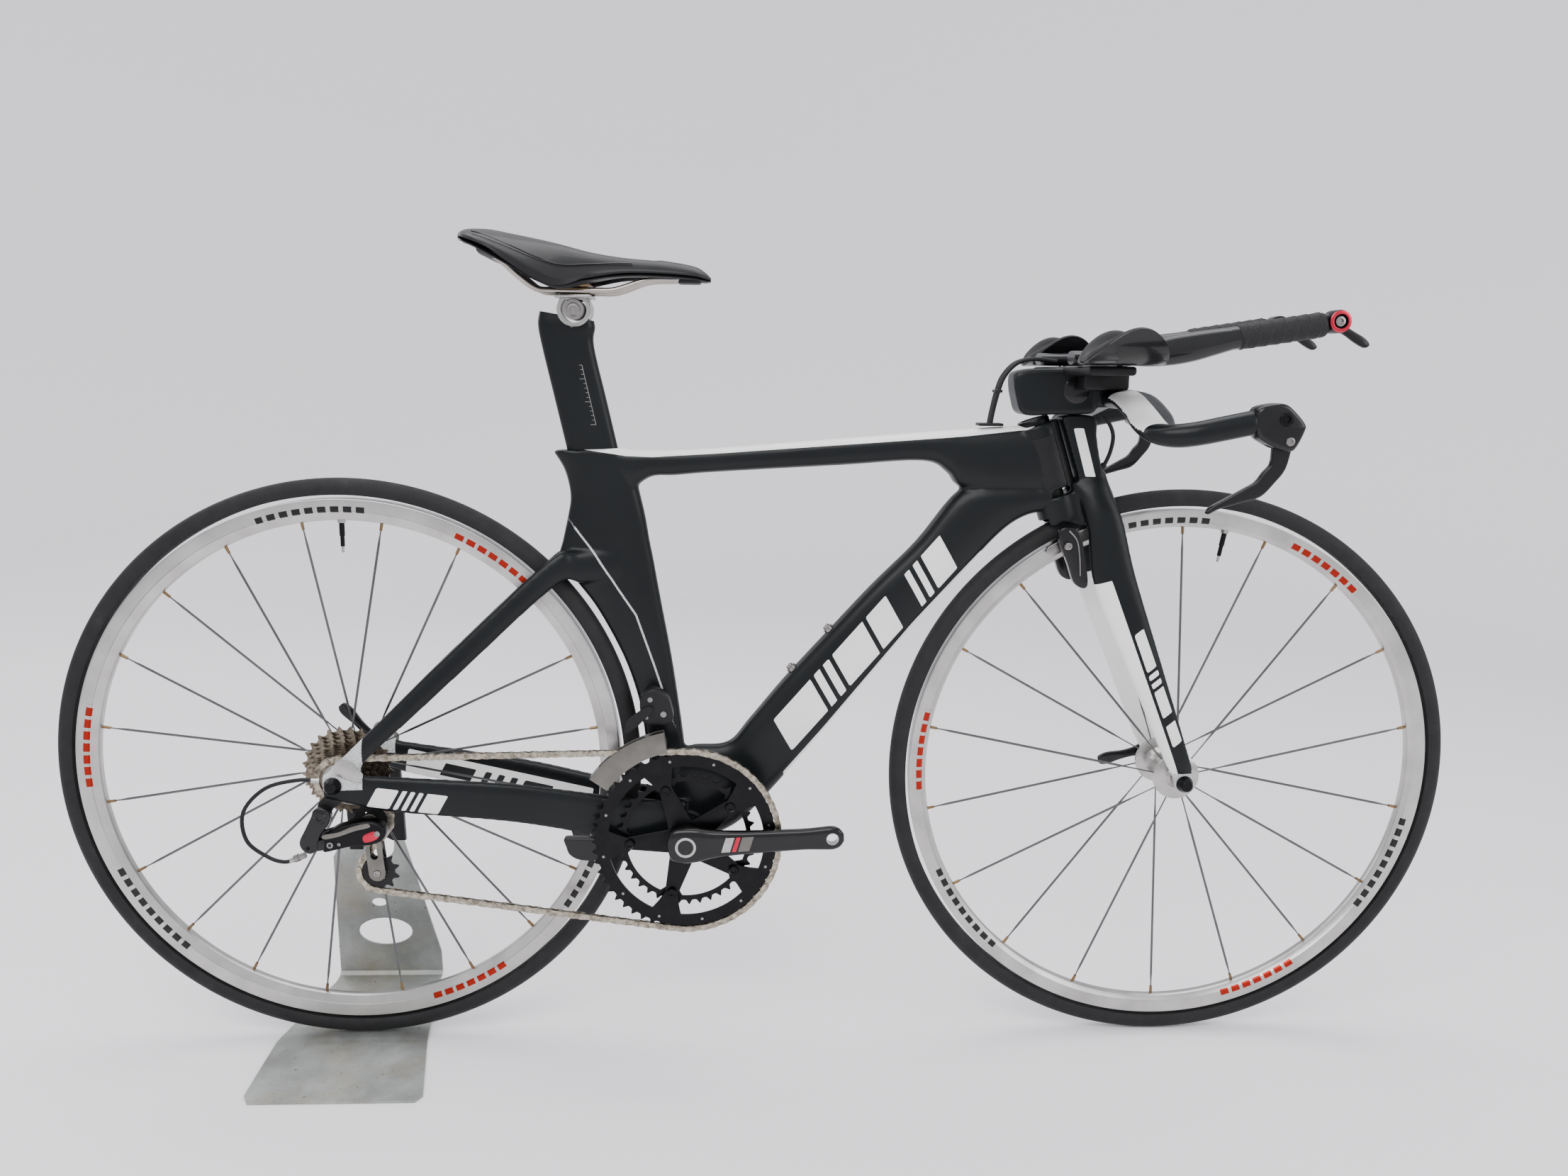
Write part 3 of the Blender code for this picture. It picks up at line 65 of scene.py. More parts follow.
REAR = middle("rear_rim")
FRONT = middle("front_rim")
SHIFT_X = REAR.x
REAR_AXLE = (0.0, REAR.z)
FRONT_AXLE = (FRONT.x - SHIFT_X, FRONT.z)
TYRE_RADIUS = (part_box("front_tyre")[1].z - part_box("front_tyre")[0].z) / 2.0
SEAT_RING = (middle("seat_clamp").x - SHIFT_X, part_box("seat_clamp")[0].z + 0.0185)
BAR_Y = abs(middle("brake_lever_right").y)
EXTENSION_Y = abs(middle("extension_right").y)
REST_Y = abs(middle("arm_pad_right").y)
BIG_RING_Y = middle("chainring_large").y
SMALL_RING_Y = middle("chainring_small").y
COG_Y = middle("guide_pulley").y

# axes of the joints, which a faceted node's box gives only roughly
CRANK_AXIS = (0.3880, 0.2620)
GUIDE = (0.0340, 0.2920)
TENSION = (0.0400, 0.2310)

# standard sizes of the drive train
PITCH = 0.0127
COGS = (12, 13, 14, 15, 16, 17, 19, 21, 23, 25)
COG_SPACING = 0.00395
BIG_TEETH, SMALL_TEETH, PULLEY_TEETH = 53, 39, 11
CRANK_LENGTH = 0.1675

SIDES = (("right", -1.0), ("left", 1.0))
SIDEWAYS = Vector((0.0, 1.0, 0.0))
UPWARD = Vector((0.0, 0.0, 1.0))
ORIGIN = (0.0, 0.0)


def roller_radius(teeth):
    """Radius at which a wheel with these teeth carries the chain's rollers."""
    return PITCH / (2.0 * math.sin(math.pi / teeth))


def linked(name, data):
    """New object in the scene."""
    obj = bpy.data.objects.new(name, data)
    bpy.context.scene.collection.objects.link(obj)
    return obj


# ---------------------------------------------------------------- camera, floor and light
def make_camera():
    """Camera worked out from the wheels' outlines in the photograph."""
    data = bpy.data.cameras.new("camera")
    data.sensor_width = 36.0
    data.lens = 28.27
    data.clip_end = 50.0
    camera = linked("camera", data)
    yaw, pitch, roll = (math.radians(v) for v in (2.464, -9.866, 0.703))
    ahead = Vector((math.sin(yaw) * math.cos(pitch), math.cos(yaw) * math.cos(pitch),
                    math.sin(pitch)))
    right = Vector((math.cos(yaw), -math.sin(yaw), 0.0))
    up = right.cross(ahead)
    turned_right = right * math.cos(roll) + up * math.sin(roll)
    turned_up = up * math.cos(roll) - right * math.sin(roll)
    basis = Matrix((turned_right, turned_up, -ahead)).transposed()
    camera.matrix_world = Matrix.Translation((-0.041, -1.397, 0.7932)) @ basis.to_4x4()
    bpy.context.scene.camera = camera


def add_area(name, location, target, size, power):
    data = bpy.data.lights.new(name, 'AREA')
    data.shape = 'RECTANGLE'
    data.size, data.size_y = size
    data.energy = power
    light = linked(name, data)
    light.location = location
    heading = Vector(target) - Vector(location)
    light.rotation_euler = heading.to_track_quat('-Z', 'Y').to_euler()


def make_light():
    world = bpy.data.worlds.new("studio")
    bpy.context.scene.world = world
    world.use_nodes = True
    background = world.node_tree.nodes["Background"]
    background.inputs["Color"].default_value = (0.93, 0.93, 1.0, 1.0)
    background.inputs["Strength"].default_value = 1.0
    add_area("key", (-0.8, -2.2, 2.6), (0.0, 0.0, 0.4), (2.6, 1.6), 78.0)
    add_area("fill", (2.6, -1.6, 1.6), (0.2, 0.0, 0.4), (1.8, 1.8), 34.0)
    add_area("top", (0.0, 0.6, 2.9), (0.0, 0.0, 0.3), (3.0, 1.6), 58.0)
    add_area("back", (-2.4, 1.8, 1.8), (0.0, 0.0, 0.5), (1.6, 1.6), 18.0)


def ring_surface(name, profile, material):
    """Surface swept about the upright axis from (radius, height) pairs."""
    bm = bmesh.new()
    rows = [[bm.verts.new((*polar(ORIGIN, r, math.pi * k / 48), z)) for k in range(96)]
            for r, z in profile]
    for low, high in zip(rows, rows[1:]):
        for k in range(96):
            bm.faces.new((low[k], low[k - 95], high[k - 95], high[k]))
    mesh = bpy.data.meshes.new(name)
    bm.to_mesh(mesh)
    bm.free()
    mesh.shade_smooth()
    mesh.materials.append(material)
    obj = linked(name, mesh)
    return obj


def make_stage():
    """Round floor, and a wall curving up from its rim that only the camera sees."""
    material = stage_material()
    rim, bend, drop = 3.0, 2.0, -0.0004
    ring_surface("floor", [(r, drop) for r in (0.001, 1.0, rim)], material)
    curve = [(rim + bend * math.sin(math.pi * k / 32),
              bend + drop - bend * math.cos(math.pi * k / 32)) for k in range(17)]
    wall = ring_surface("wall", curve + [(rim + bend, 9.0)], material)
    for ray in ("diffuse", "glossy", "transmission", "shadow"):
        setattr(wall, "visible_" + ray, False)


# ---------------------------------------------------------------- materials
SEAM_HALF_WIDTH = 0.0011


class Shader:
    """A Principled material with its node tree close at hand."""

    def __init__(self, name, **values):
        self.material = bpy.data.materials.new(name)
        self.material.use_nodes = True
        self.tree = self.material.node_tree
        self.out = self.tree.nodes["Principled BSDF"]
        self.coordinates = self.tree.nodes.new('ShaderNodeTexCoord').outputs["Object"]
        for key, value in values.items():
            self.out.inputs[key.replace("_", " ")].default_value = value

    def add(self, kind, inputs=None, **settings):
        node = self.tree.nodes.new(kind)
        for key, value in settings.items():
            setattr(node, key, value)
        for key, value in (inputs or {}).items():
            socket = node.inputs[key]
            if isinstance(value, bpy.types.NodeSocket):
                self.tree.links.new(value, socket)
            else:
                socket.default_value = value
        return node

    def link(self, socket, key):
        self.tree.links.new(socket, self.out.inputs[key])

    def noise(self, scale, detail, roughness=0.5, coordinates=None):
        vector = coordinates or self.coordinates
        return self.add('ShaderNodeTexNoise', {"Vector": vector, "Scale": scale, "Detail": detail,
                                               "Roughness": roughness}).outputs["Fac"]

    def cells(self, scale):
        return self.add('ShaderNodeTexVoronoi', {"Vector": self.coordinates,
                                                 "Scale": scale}).outputs["Distance"]

    def stripes(self, scale, distortion):
        return self.add('ShaderNodeTexWave', {"Vector": self.coordinates, "Scale": scale,
                                              "Distortion": distortion},
                        bands_direction='DIAGONAL').outputs["Fac"]

    def ramp(self, factor, stops):
        node = self.add('ShaderNodeValToRGB', {"Fac": factor})
        ramp = node.color_ramp
        while len(ramp.elements) < len(stops):
            ramp.elements.new(0.5)
        for element, (position, colour) in zip(ramp.elements, stops):
            element.position = position
            element.color = (*colour, 1.0)
        return node.outputs["Color"]

    def patches(self, scale, detail, dark, light):
        """Two colours drifting into each other."""
        return self.ramp(self.noise(scale, detail), [(0.3, dark), (0.7, light)])

    def span(self, factor, low, high):
        return self.add('ShaderNodeMapRange', {"Value": factor, "To Min": low,
                                               "To Max": high}).outputs["Result"]

    def math(self, operation, first, second=0.0):
        return self.add('ShaderNodeMath', {0: first, 1: second},
                        operation=operation).outputs["Value"]

    def mix(self, factor, first, second):
        node = self.add('ShaderNodeMix', data_type='RGBA')
        for key, value in (("Factor", factor), ("A", first), ("B", second)):
            socket = next(s for s in node.inputs if s.name == key and s.enabled)
            if isinstance(value, bpy.types.NodeSocket):
                self.tree.links.new(value, socket)
            else:
                socket.default_value = (*value, 1.0)
        return next(s for s in node.outputs if s.enabled)

    def attribute(self, name):
        return self.add('ShaderNodeAttribute', attribute_name=name).outputs["Fac"]

    def gloss(self, scale, detail, low, high):
        """Roughness that wanders between two values."""
        self.link(self.span(self.noise(scale, detail), low, high), "Roughness")

    def relief(self, height, strength, distance):
        bump = self.add('ShaderNodeBump', {"Height": height, "Strength": strength,
                                           "Distance": distance})
        self.link(bump.outputs["Normal"], "Normal")

    def surface(self, colour, variation, scale, roughness, bump, bump_scale):
        """Colour drift, uneven gloss and a fine grain over one base colour."""
        dark = tuple(c * (1.0 - variation) for c in colour)
        light = tuple(min(1.0, c * (1.0 + variation)) for c in colour)
        self.link(self.ramp(self.noise(scale, 5.0, 0.6), [(0.3, dark), (0.7, light)]),
                  "Base Color")
        self.link(self.span(self.noise(scale * 3.0, 6.0, 0.6), *roughness), "Roughness")
        self.relief(self.noise(bump_scale, 3.0), bump, 0.0006)
        return self.material


def stage_material():
    """Pale floor with painted light: its colour grows lighter away from the middle, into the
    near-white wall.
    """
    shader = Shader("pale_floor")
    away = shader.add('ShaderNodeVectorMath', {0: shader.coordinates},
                      operation='LENGTH').outputs["Value"]
    near = shader.patches(1.2, 4.0, (0.85, 0.83, 0.85), (0.87, 0.85, 0.87))
    # painted light: the floor's colour brightens from 1.5 m out, turning near white towards the
    # wall
    painted_brightening = shader.add('ShaderNodeMapRange', {"Value": away, "From Min": 1.5, "From Max": 4.5},
                       interpolation_type='SMOOTHSTEP').outputs["Result"]
    shader.link(shader.mix(painted_brightening, near, (1.0, 0.985, 0.985)), "Base Color")
    shader.gloss(3.0, 4.0, 0.55, 0.75)
    return shader.material


def painted_frame(name):
    """Satin black lacquer over carbon, with white and silver areas held in the mesh."""
    shader = Shader(name, Coat_Weight=0.10, Coat_Roughness=0.20, Specular_IOR_Level=0.16)
    black = shader.patches(9.0, 5.0, (0.0030, 0.0042, 0.0048), (0.0058, 0.0072, 0.0078))
    white = shader.patches(14.0, 6.0, (0.72, 0.72, 0.70), (0.82, 0.82, 0.81))
    silver = shader.ramp(shader.noise(900.0, 2.0), [(0.35, (0.30, 0.31, 0.31)),
                                                    (0.65, (0.62, 0.63, 0.62))])
    is_white = shader.math('GREATER_THAN', shader.attribute("white"), 0.0)
    off_seam = shader.math('ABSOLUTE', shader.attribute("silver"))
    is_silver = shader.math('LESS_THAN', off_seam, SEAM_HALF_WIDTH)
    shader.link(shader.mix(is_silver, shader.mix(is_white, black, white), silver), "Base Color")
    shader.gloss(60.0, 6.0, 0.30, 0.44)
    shader.relief(shader.noise(220.0, 2.0), 0.05, 0.0004)
    return shader.material


def carbon_weave():
    """Gloss twill under clear coat."""
    shader = Shader("carbon_weave", Coat_Weight=0.30, Coat_Roughness=0.10, Specular_IOR_Level=0.20)
    shader.link(shader.ramp(shader.stripes(260.0, 0.0), [(0.35, (0.0050, 0.0050, 0.0055)),
                                                         (0.65, (0.0100, 0.0100, 0.0110))]),
                "Base Color")
    shader.gloss(50.0, 4.0, 0.22, 0.36)
    return shader.material


def gloss_black():
    shader = Shader("gloss_black", Coat_Weight=0.25, Coat_Roughness=0.08, Specular_IOR_Level=0.20)
    return shader.surface((0.0060, 0.0060, 0.0066), 0.3, 30.0, (0.16, 0.30), 0.04, 300.0)


def satin_black():
    shader = Shader("satin_black", Specular_IOR_Level=0.22)
    return shader.surface((0.0085, 0.0085, 0.0090), 0.3, 40.0, (0.38, 0.55), 0.10, 500.0)


def anodised(name, colour, roughness):
    shader = Shader(name, Metallic=1.0)
    return shader.surface(colour, 0.12, 60.0, roughness, 0.05, 700.0)


def tyre_rubber():
    """Matt rubber with faint dust and a fine file pattern."""
    shader = Shader("tyre_rubber", Specular_IOR_Level=0.25)
    shader.link(shader.ramp(shader.noise(35.0, 8.0, 0.7), [(0.35, (0.0090, 0.0090, 0.0095)),
                                                           (0.62, (0.013, 0.013, 0.0135)),
                                                           (0.80, (0.026, 0.025, 0.024))]),
                "Base Color")
    shader.gloss(90.0, 6.0, 0.55, 0.80)
    shader.relief(shader.cells(900.0), 0.25, 0.0004)
    return shader.material


def rim_metal(name, axle):
    """Silver rim turned in fine rings, with a few abstract coloured marks."""
    shader = Shader(name, Metallic=1.0)
    place = shader.add('ShaderNodeSeparateXYZ', {"Vector": shader.coordinates})
    x = shader.math('SUBTRACT', place.outputs["X"], axle.x)
    z = shader.math('SUBTRACT', place.outputs["Z"], axle.z)
    radius = shader.math('SQRT', shader.math('ADD', shader.math('MULTIPLY', x, x),
                                             shader.math('MULTIPLY', z, z)))
    turn = shader.math('ARCTAN2', z, x)
    bare = shader.patches(24.0, 6.0, (0.38, 0.37, 0.36), (0.52, 0.51, 0.49))
    in_band = shader.math('MULTIPLY', shader.math('GREATER_THAN', radius, 0.2955),
                          shader.math('LESS_THAN', radius, 0.3025))
    # three laps of marks to a turn, each mark cut into dashes
    lap = shader.math('FRACT', shader.math('ADD', shader.math('MULTIPLY', turn, 0.477465), 0.62))
    dash = shader.math('FRACT', shader.math('MULTIPLY', turn, 21.0))
    red_lap = shader.math('LESS_THAN', lap, 0.16)
    dark_lap = shader.math('COMPARE', lap, 0.42)
    dark_lap.node.inputs[2].default_value = 0.10
    colour = bare
    for where, dash_end, paint in ((red_lap, 0.72, (0.32, 0.022, 0.014)),
                                   (dark_lap, 0.66, (0.03, 0.03, 0.03))):
        inked = shader.math('MULTIPLY', where, shader.math('LESS_THAN', dash, dash_end))
        colour = shader.mix(shader.math('MULTIPLY', in_band, inked), colour, paint)
    shader.link(colour, "Base Color")
    shader.gloss(70.0, 5.0, 0.24, 0.40)
    rings = shader.math('SINE', shader.math('MULTIPLY', radius, 9000.0))
    shader.relief(rings, 0.06, 0.0002)
    return shader.material


def stand_steel():
    """Galvanised sheet, brushed, with warm stains and small pits."""
    shader = Shader("stand_steel", Metallic=0.75)
    base = shader.ramp(shader.noise(20.0, 8.0, 0.65), [(0.30, (0.25, 0.265, 0.255)),
                                                       (0.70, (0.42, 0.435, 0.42))])
    stain = shader.span(shader.noise(7.0, 6.0, 0.7), -1.1, 1.2)
    warm = shader.mix(stain, base, (0.33, 0.25, 0.13))
    pits = shader.math('GREATER_THAN', shader.noise(260.0, 4.0), 0.70)
    shader.link(shader.mix(pits, warm, (0.12, 0.10, 0.07)), "Base Color")
    shader.gloss(50.0, 8.0, 0.38, 0.62)
    brushed = shader.add('ShaderNodeMapping', {"Vector": shader.coordinates,
                                               "Scale": (1.0, 14.0, 1.0)}).outputs["Vector"]
    shader.relief(shader.noise(40.0, 6.0, 0.6, brushed), 0.22, 0.0006)
    return shader.material


def leather(name, coat, roughness, relief):
    """Fine-grained cover; its sides have more coat and less grain."""
    shader = Shader(name, Coat_Weight=coat, Coat_Roughness=0.12, Specular_IOR_Level=0.25)
    shader.link(shader.patches(25.0, 6.0, (0.0050, 0.0050, 0.0055), (0.0100, 0.0100, 0.0105)),
                "Base Color")
    shader.gloss(60.0, 6.0, *roughness)
    shader.relief(shader.cells(1300.0), relief, 0.0004)
    return shader.material


def foam_cloth():
    """Knitted cover on foam."""
    shader = Shader("foam_cloth", Sheen_Weight=0.12, Sheen_Roughness=0.5, Specular_IOR_Level=0.2)
    shader.link(shader.patches(30.0, 6.0, (0.0055, 0.0055, 0.0055), (0.0120, 0.0120, 0.0125)),
                "Base Color")
    shader.gloss(80.0, 4.0, 0.82, 0.95)
    shader.relief(shader.stripes(420.0, 1.5), 0.35, 0.0006)
    return shader.material


def grip_tape():
    """Perforated tape with a soft grain."""
    shader = Shader("grip_tape", Specular_IOR_Level=0.22)
    cells = shader.cells(420.0)
    shader.link(shader.ramp(cells, [(0.10, (0.003, 0.003, 0.003)),
                                    (0.35, (0.014, 0.014, 0.0145))]), "Base Color")
    shader.gloss(60.0, 4.0, 0.50, 0.68)
    shader.relief(cells, 0.5, 0.0007)
    return shader.material


def oily_metal(name, colour, dirt):
    """Bare metal with patches of old oil."""
    shader = Shader(name, Metallic=1.0)
    grime = shader.noise(160.0, 8.0, 0.7)
    shader.link(shader.ramp(grime, [(0.30, dirt), (0.62, colour)]), "Base Color")
    shader.gloss(120.0, 6.0, 0.25, 0.50)
    return shader.material


def make_materials():
    return {
        "frame": painted_frame("frame_lacquer"),
        "fork": painted_frame("fork_lacquer"),
        "bar": painted_frame("bar_lacquer"),
        "carbon": carbon_weave(),
        "gloss": gloss_black(),
        "satin": satin_black(),
        "tyre": tyre_rubber(),
        "front_rim": rim_metal("front_rim_metal", FRONT),
        "rear_rim": rim_metal("rear_rim_metal", REAR),
        "silver": anodised("silver_alloy", (0.42, 0.41, 0.39), (0.20, 0.34)),
        "steel": anodised("bolt_steel", (0.26, 0.25, 0.24), (0.22, 0.38)),
        "spoke": anodised("spoke_steel", (0.11, 0.11, 0.11), (0.28, 0.40)),
        "bronze": anodised("bronze_fitting", (0.20, 0.13, 0.065), (0.28, 0.42)),
        "red": anodised("red_anodised", (0.52, 0.03, 0.06), (0.22, 0.36)),
        "titanium": anodised("titanium", (0.36, 0.33, 0.30), (0.26, 0.40)),
        "grey": anodised("grey_plate", (0.15, 0.145, 0.13), (0.28, 0.42)),
        "black_metal": anodised("black_anodised", (0.016, 0.016, 0.017), (0.28, 0.42)),
        "chain": oily_metal("chain_nickel", (0.46, 0.42, 0.34), (0.07, 0.055, 0.035)),
        "cogs": oily_metal("cog_steel", (0.26, 0.22, 0.17), (0.045, 0.036, 0.025)),
        "stand": stand_steel(),
        "cover": leather("saddle_cover", 0.12, (0.34, 0.50), 0.20),
        "cover_gloss": leather("saddle_side_gloss", 0.25, (0.12, 0.24), 0.05),
        "foam": foam_cloth(),
        "tape": grip_tape(),
        "rubber": satin_black(),
    }


# ---------------------------------------------------------------- shape helpers
def polar(centre, radius, angle):
    """Place in a side view, from an angle in radians."""
    return centre[0] + radius * math.cos(angle), centre[1] + radius * math.sin(angle)


def filled_in(rows, steps):
    """Catmull-Rom points from the second of some rows of numbers to the last but one."""
    result = []
    for i in range(1, len(rows) - 2):
        for k in range(steps):
            t = k / steps
            result.append([0.5 * (2 * b + (c - a) * t + (2 * a - 5 * b + 4 * c - d) * t * t
                                  + (3 * b - a - 3 * c + d) * t ** 3)
                           for a, b, c, d in zip(*rows[i - 1:i + 3])])
    return result


def catmull(rows, steps):
    """Open chain of rows made smooth."""
    before = [2 * a - b for a, b in zip(rows[0], rows[1])]
    after = [2 * a - b for a, b in zip(rows[-1], rows[-2])]
    return filled_in([before, *rows, after], steps) + [rows[-1]]


def rounded(outline, steps=4):
    """Closed outline made smooth."""
    return filled_in([outline[-1], *outline, *outline[:2]], steps)


def headings(route):
    """Direction of a route at each of its points."""
    return [(b - a).normalized() for a, b in zip([route[0], *route], [*route[1:], route[-1]])]


def skin(rings, closed=False):
    """Solid through rings of points, with flat ends or closed on itself."""
    bm = bmesh.new()
    rows = [[bm.verts.new(point) for point in ring] for ring in rings]
    count = len(rows[0])
    pairs = list(zip(rows, rows[1:]))
    if closed:
        pairs.append((rows[-1], rows[0]))
    else:
        bm.faces.new(rows[0][::-1])
        bm.faces.new(rows[-1])
    for first, second in pairs:
        for i in range(count):
            j = (i + 1) % count
            bm.faces.new((first[i], first[j], second[j], second[i]))
    return bm


def section(centre, side, up, half_side, half_up, sides, power):
    """Ring between an ellipse (power 2) and a box with round corners (more than 2)."""
    ring = []
    for k in range(sides):
        angle = 2.0 * math.pi * (k + 0.5) / sides
        c, s = math.cos(angle), math.sin(angle)
        ring.append(centre + side * math.copysign(abs(c) ** (2.0 / power), c) * half_side
                    + up * math.copysign(abs(s) ** (2.0 / power), s) * half_up)
    return ring


def side_loft(stations, side=1.0, power=2.5, grow=0.0):
    """Tube through (upper edge, lower edge, y, half width) stations seen from the side."""
    flat = [(*upper, *lower, y, half) for upper, lower, y, half in stations]
    rings = []
    for ux, uz, lx, lz, y, half in catmull(flat, 5):
        top, bottom = Vector((ux, side * y, uz)), Vector((lx, side * y, lz))
        depth = top - bottom
        rings.append(section((top + bottom) / 2.0, SIDEWAYS, depth.normalized(), half + grow,
                             depth.length / 2.0 + grow, 28, power))
    return skin(rings)


def path_loft(stations, power, steps):
    """Bar through (x, y, z, half width, half height) stations, kept upright."""
    rows = catmull(stations, steps)
    route = [Vector(row[:3]) for row in rows]
    rings = []
    for point, along, row in zip(route, headings(route), rows):
        side = along.cross(UPWARD).normalized()
        rings.append(section(point, side, side.cross(along), row[3], row[4], 32, power))
    return skin(rings)


def tube(points, radius, sides, steps=6):
    """Round tube along a smooth route."""
    route = [Vector(p) for p in catmull(points, steps)]
    side = (route[1] - route[0]).orthogonal().normalized()
    rings = []
    for point, along in zip(route, headings(route)):
        side = (side - along * side.dot(along)).normalized()
        rings.append(section(point, side, along.cross(side), radius, radius, sides, 2.0))
    return skin(rings)


def turned(profile, centre, steps, open_ends=False):
    """Solid turned about Y from (radius, y) points; open ends start and stop on the axis."""
    rings = []
    for k in range(steps):
        a = 2.0 * math.pi * k / steps
        rings.append([Vector((centre[0] + r * math.cos(a), y, centre[1] + r * math.sin(a)))
                      for r, y in profile])
    bm = skin(rings, closed=True)
    if open_ends:
        bmesh.ops.remove_doubles(bm, verts=bm.verts, dist=0.000001)
    return bm


def final_mesh(obj):
    """Mesh of an object with its curves and modifiers worked out."""
    bpy.context.view_layer.update()
    graph = bpy.context.evaluated_depsgraph_get()
    return bpy.data.meshes.new_from_object(obj.evaluated_get(graph))


def plate(outline, y, half, holes=(), rounding=0.0):
    """Flat piece seen from the side, with softly rounded edges."""
    curve = bpy.data.curves.new("outline", 'CURVE')
    curve.dimensions = '2D'
    curve.fill_mode = 'BOTH'
    curve.extrude = half - rounding
    curve.bevel_depth = rounding
    curve.offset = -rounding
    curve.bevel_resolution = 2
    for loop in (outline, *holes):
        spline = curve.splines.new('POLY')
        spline.points.add(len(loop) - 1)
        for knot, (u, v) in zip(spline.points, loop):
            knot.co = (u, v, 0.0, 1.0)
        spline.use_cyclic_u = True
    obj = linked("outline", curve)
    mesh = final_mesh(obj)
    mesh.transform(Matrix.Translation((0.0, y, 0.0)) @ Matrix.Rotation(math.pi / 2.0, 4, 'X'))
    bm = bmesh.new()
    bm.from_mesh(mesh)
    bmesh.ops.remove_doubles(bm, verts=bm.verts, dist=0.00001)
    bpy.data.objects.remove(obj, do_unlink=True)
    return bm


def transformed(bm, matrix):
    bmesh.ops.transform(bm, matrix=matrix, verts=bm.verts)
    return bm


def moved(bm, centre, y=0.0):
    """Carry a shape drawn about the origin to its place."""
    bmesh.ops.translate(bm, vec=(centre[0], y, centre[1]), verts=bm.verts)
    return bm


def rod(start, end, radius, sides, end_radius=None):
    start, end = Vector(start), Vector(end)
    along = end - start
    bm = bmesh.new()
    bmesh.ops.create_cone(bm, cap_ends=True, segments=sides, radius1=radius,
                          radius2=radius if end_radius is None else end_radius,
                          depth=along.length)
    turn = along.to_track_quat('Z', 'Y').to_matrix().to_4x4()
    return transformed(bm, Matrix.Translation((start + end) / 2.0) @ turn)


def cross_rod(centre, y0, y1, radius, sides):
    return rod((centre[0], y0, centre[1]), (centre[0], y1, centre[1]), radius, sides)


def bolt(centre, y, out, radius, height):
    """Domed bolt head with a socket, facing along Y; out is the way it points, -1 or 1."""
    shape = ((0.0, 0.4), (0.45, 0.4), (0.50, 1.0), (0.85, 0.9), (1.0, 0.4), (1.0, 0.0), (0.0, 0.0))
    profile = [(radius * r, y + out * height * h) for r, h in shape]
    return turned(profile, centre, 18, open_ends=True)


def cuboid(centre, size):
    bm = bmesh.new()
    bmesh.ops.create_cube(bm, size=1.0)
    return transformed(bm, Matrix.Translation(centre) @ Matrix.Diagonal((*size, 1.0)))


def slab(low, high, rounding=0.002):
    """Box between two corners, with rounded edges."""
    low, high = Vector(low), Vector(high)
    bm = cuboid((high + low) / 2.0, high - low)
    bmesh.ops.bevel(bm, geom=bm.edges[:], offset=rounding, segments=3, profile=0.5,
                    affect='EDGES')
    return bm


def arc(centre, radius, start, end, count):
    """Points from one angle to another, in degrees."""
    return [polar(centre, radius, math.radians(start + (end - start) * k / (count - 1)))
            for k in range(count)]


def circle(radius, count, centre=ORIGIN):
    return arc(centre, radius, 0.0, 360.0 - 360.0 / count, count)


def capsule(first, r0, second, r1):
    """Outline round two circles."""
    dx, dz = second[0] - first[0], second[1] - first[1]
    heading = math.degrees(math.atan2(dz, dx))
    opening = math.degrees(math.acos((r0 - r1) / math.hypot(dx, dz)))
    return (arc(first, r0, heading + opening, heading + 360.0 - opening, 14)
            + arc(second, r1, heading - opening, heading + opening, 14))


def joined(*shapes):
    """One mesh from several, which are used up."""
    result = bmesh.new()
    for shape in shapes:
        mesh = bpy.data.meshes.new("part")
        shape.to_mesh(mesh)
        shape.free()
        result.from_mesh(mesh)
        bpy.data.meshes.remove(mesh)
    return result


def loose(name, bm):
    """Object with its normals outwards, not yet painted or riding."""
    bmesh.ops.recalc_face_normals(bm, faces=bm.faces)
    mesh = bpy.data.meshes.new(name)
    bm.to_mesh(mesh)
    bm.free()
    return linked(name, mesh)


def applied(obj):
    """Bake the modifiers into the mesh."""
    mesh = final_mesh(obj)
    obj.modifiers.clear()
    obj.data = mesh
    return obj


def settle(obj, body, material, stands_for, angle=40.0):
    """Move a piece from the bicycle's own zero into the row, paint it and let it ride."""
    obj.data.transform(Matrix.Translation((SHIFT_X, 0.0, 0.0)))
    obj.data.materials.clear()
    obj.data.materials.append(MATERIALS[material])
    obj.data.shade_smooth()
    obj.data.set_sharp_from_angle(angle=math.radians(angle))
    if body:
        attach(obj, body)
    if stands_for:
        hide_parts(*stands_for)
    return obj


def piece(name, bm, body, material, stands_for=(), angle=40.0):
    """Finished visible piece; with an empty body it stays unattached."""
    return settle(loose(name, bm), body, material, stands_for, angle)


def repaint(node, material):
    """Better material on a CAD node that keeps its shape."""
    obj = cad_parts[node]
    for slot in obj.material_slots:
        slot.material = MATERIALS[material]
    if not obj.material_slots:
        obj.data.materials.append(MATERIALS[material])


MATERIALS = make_materials()


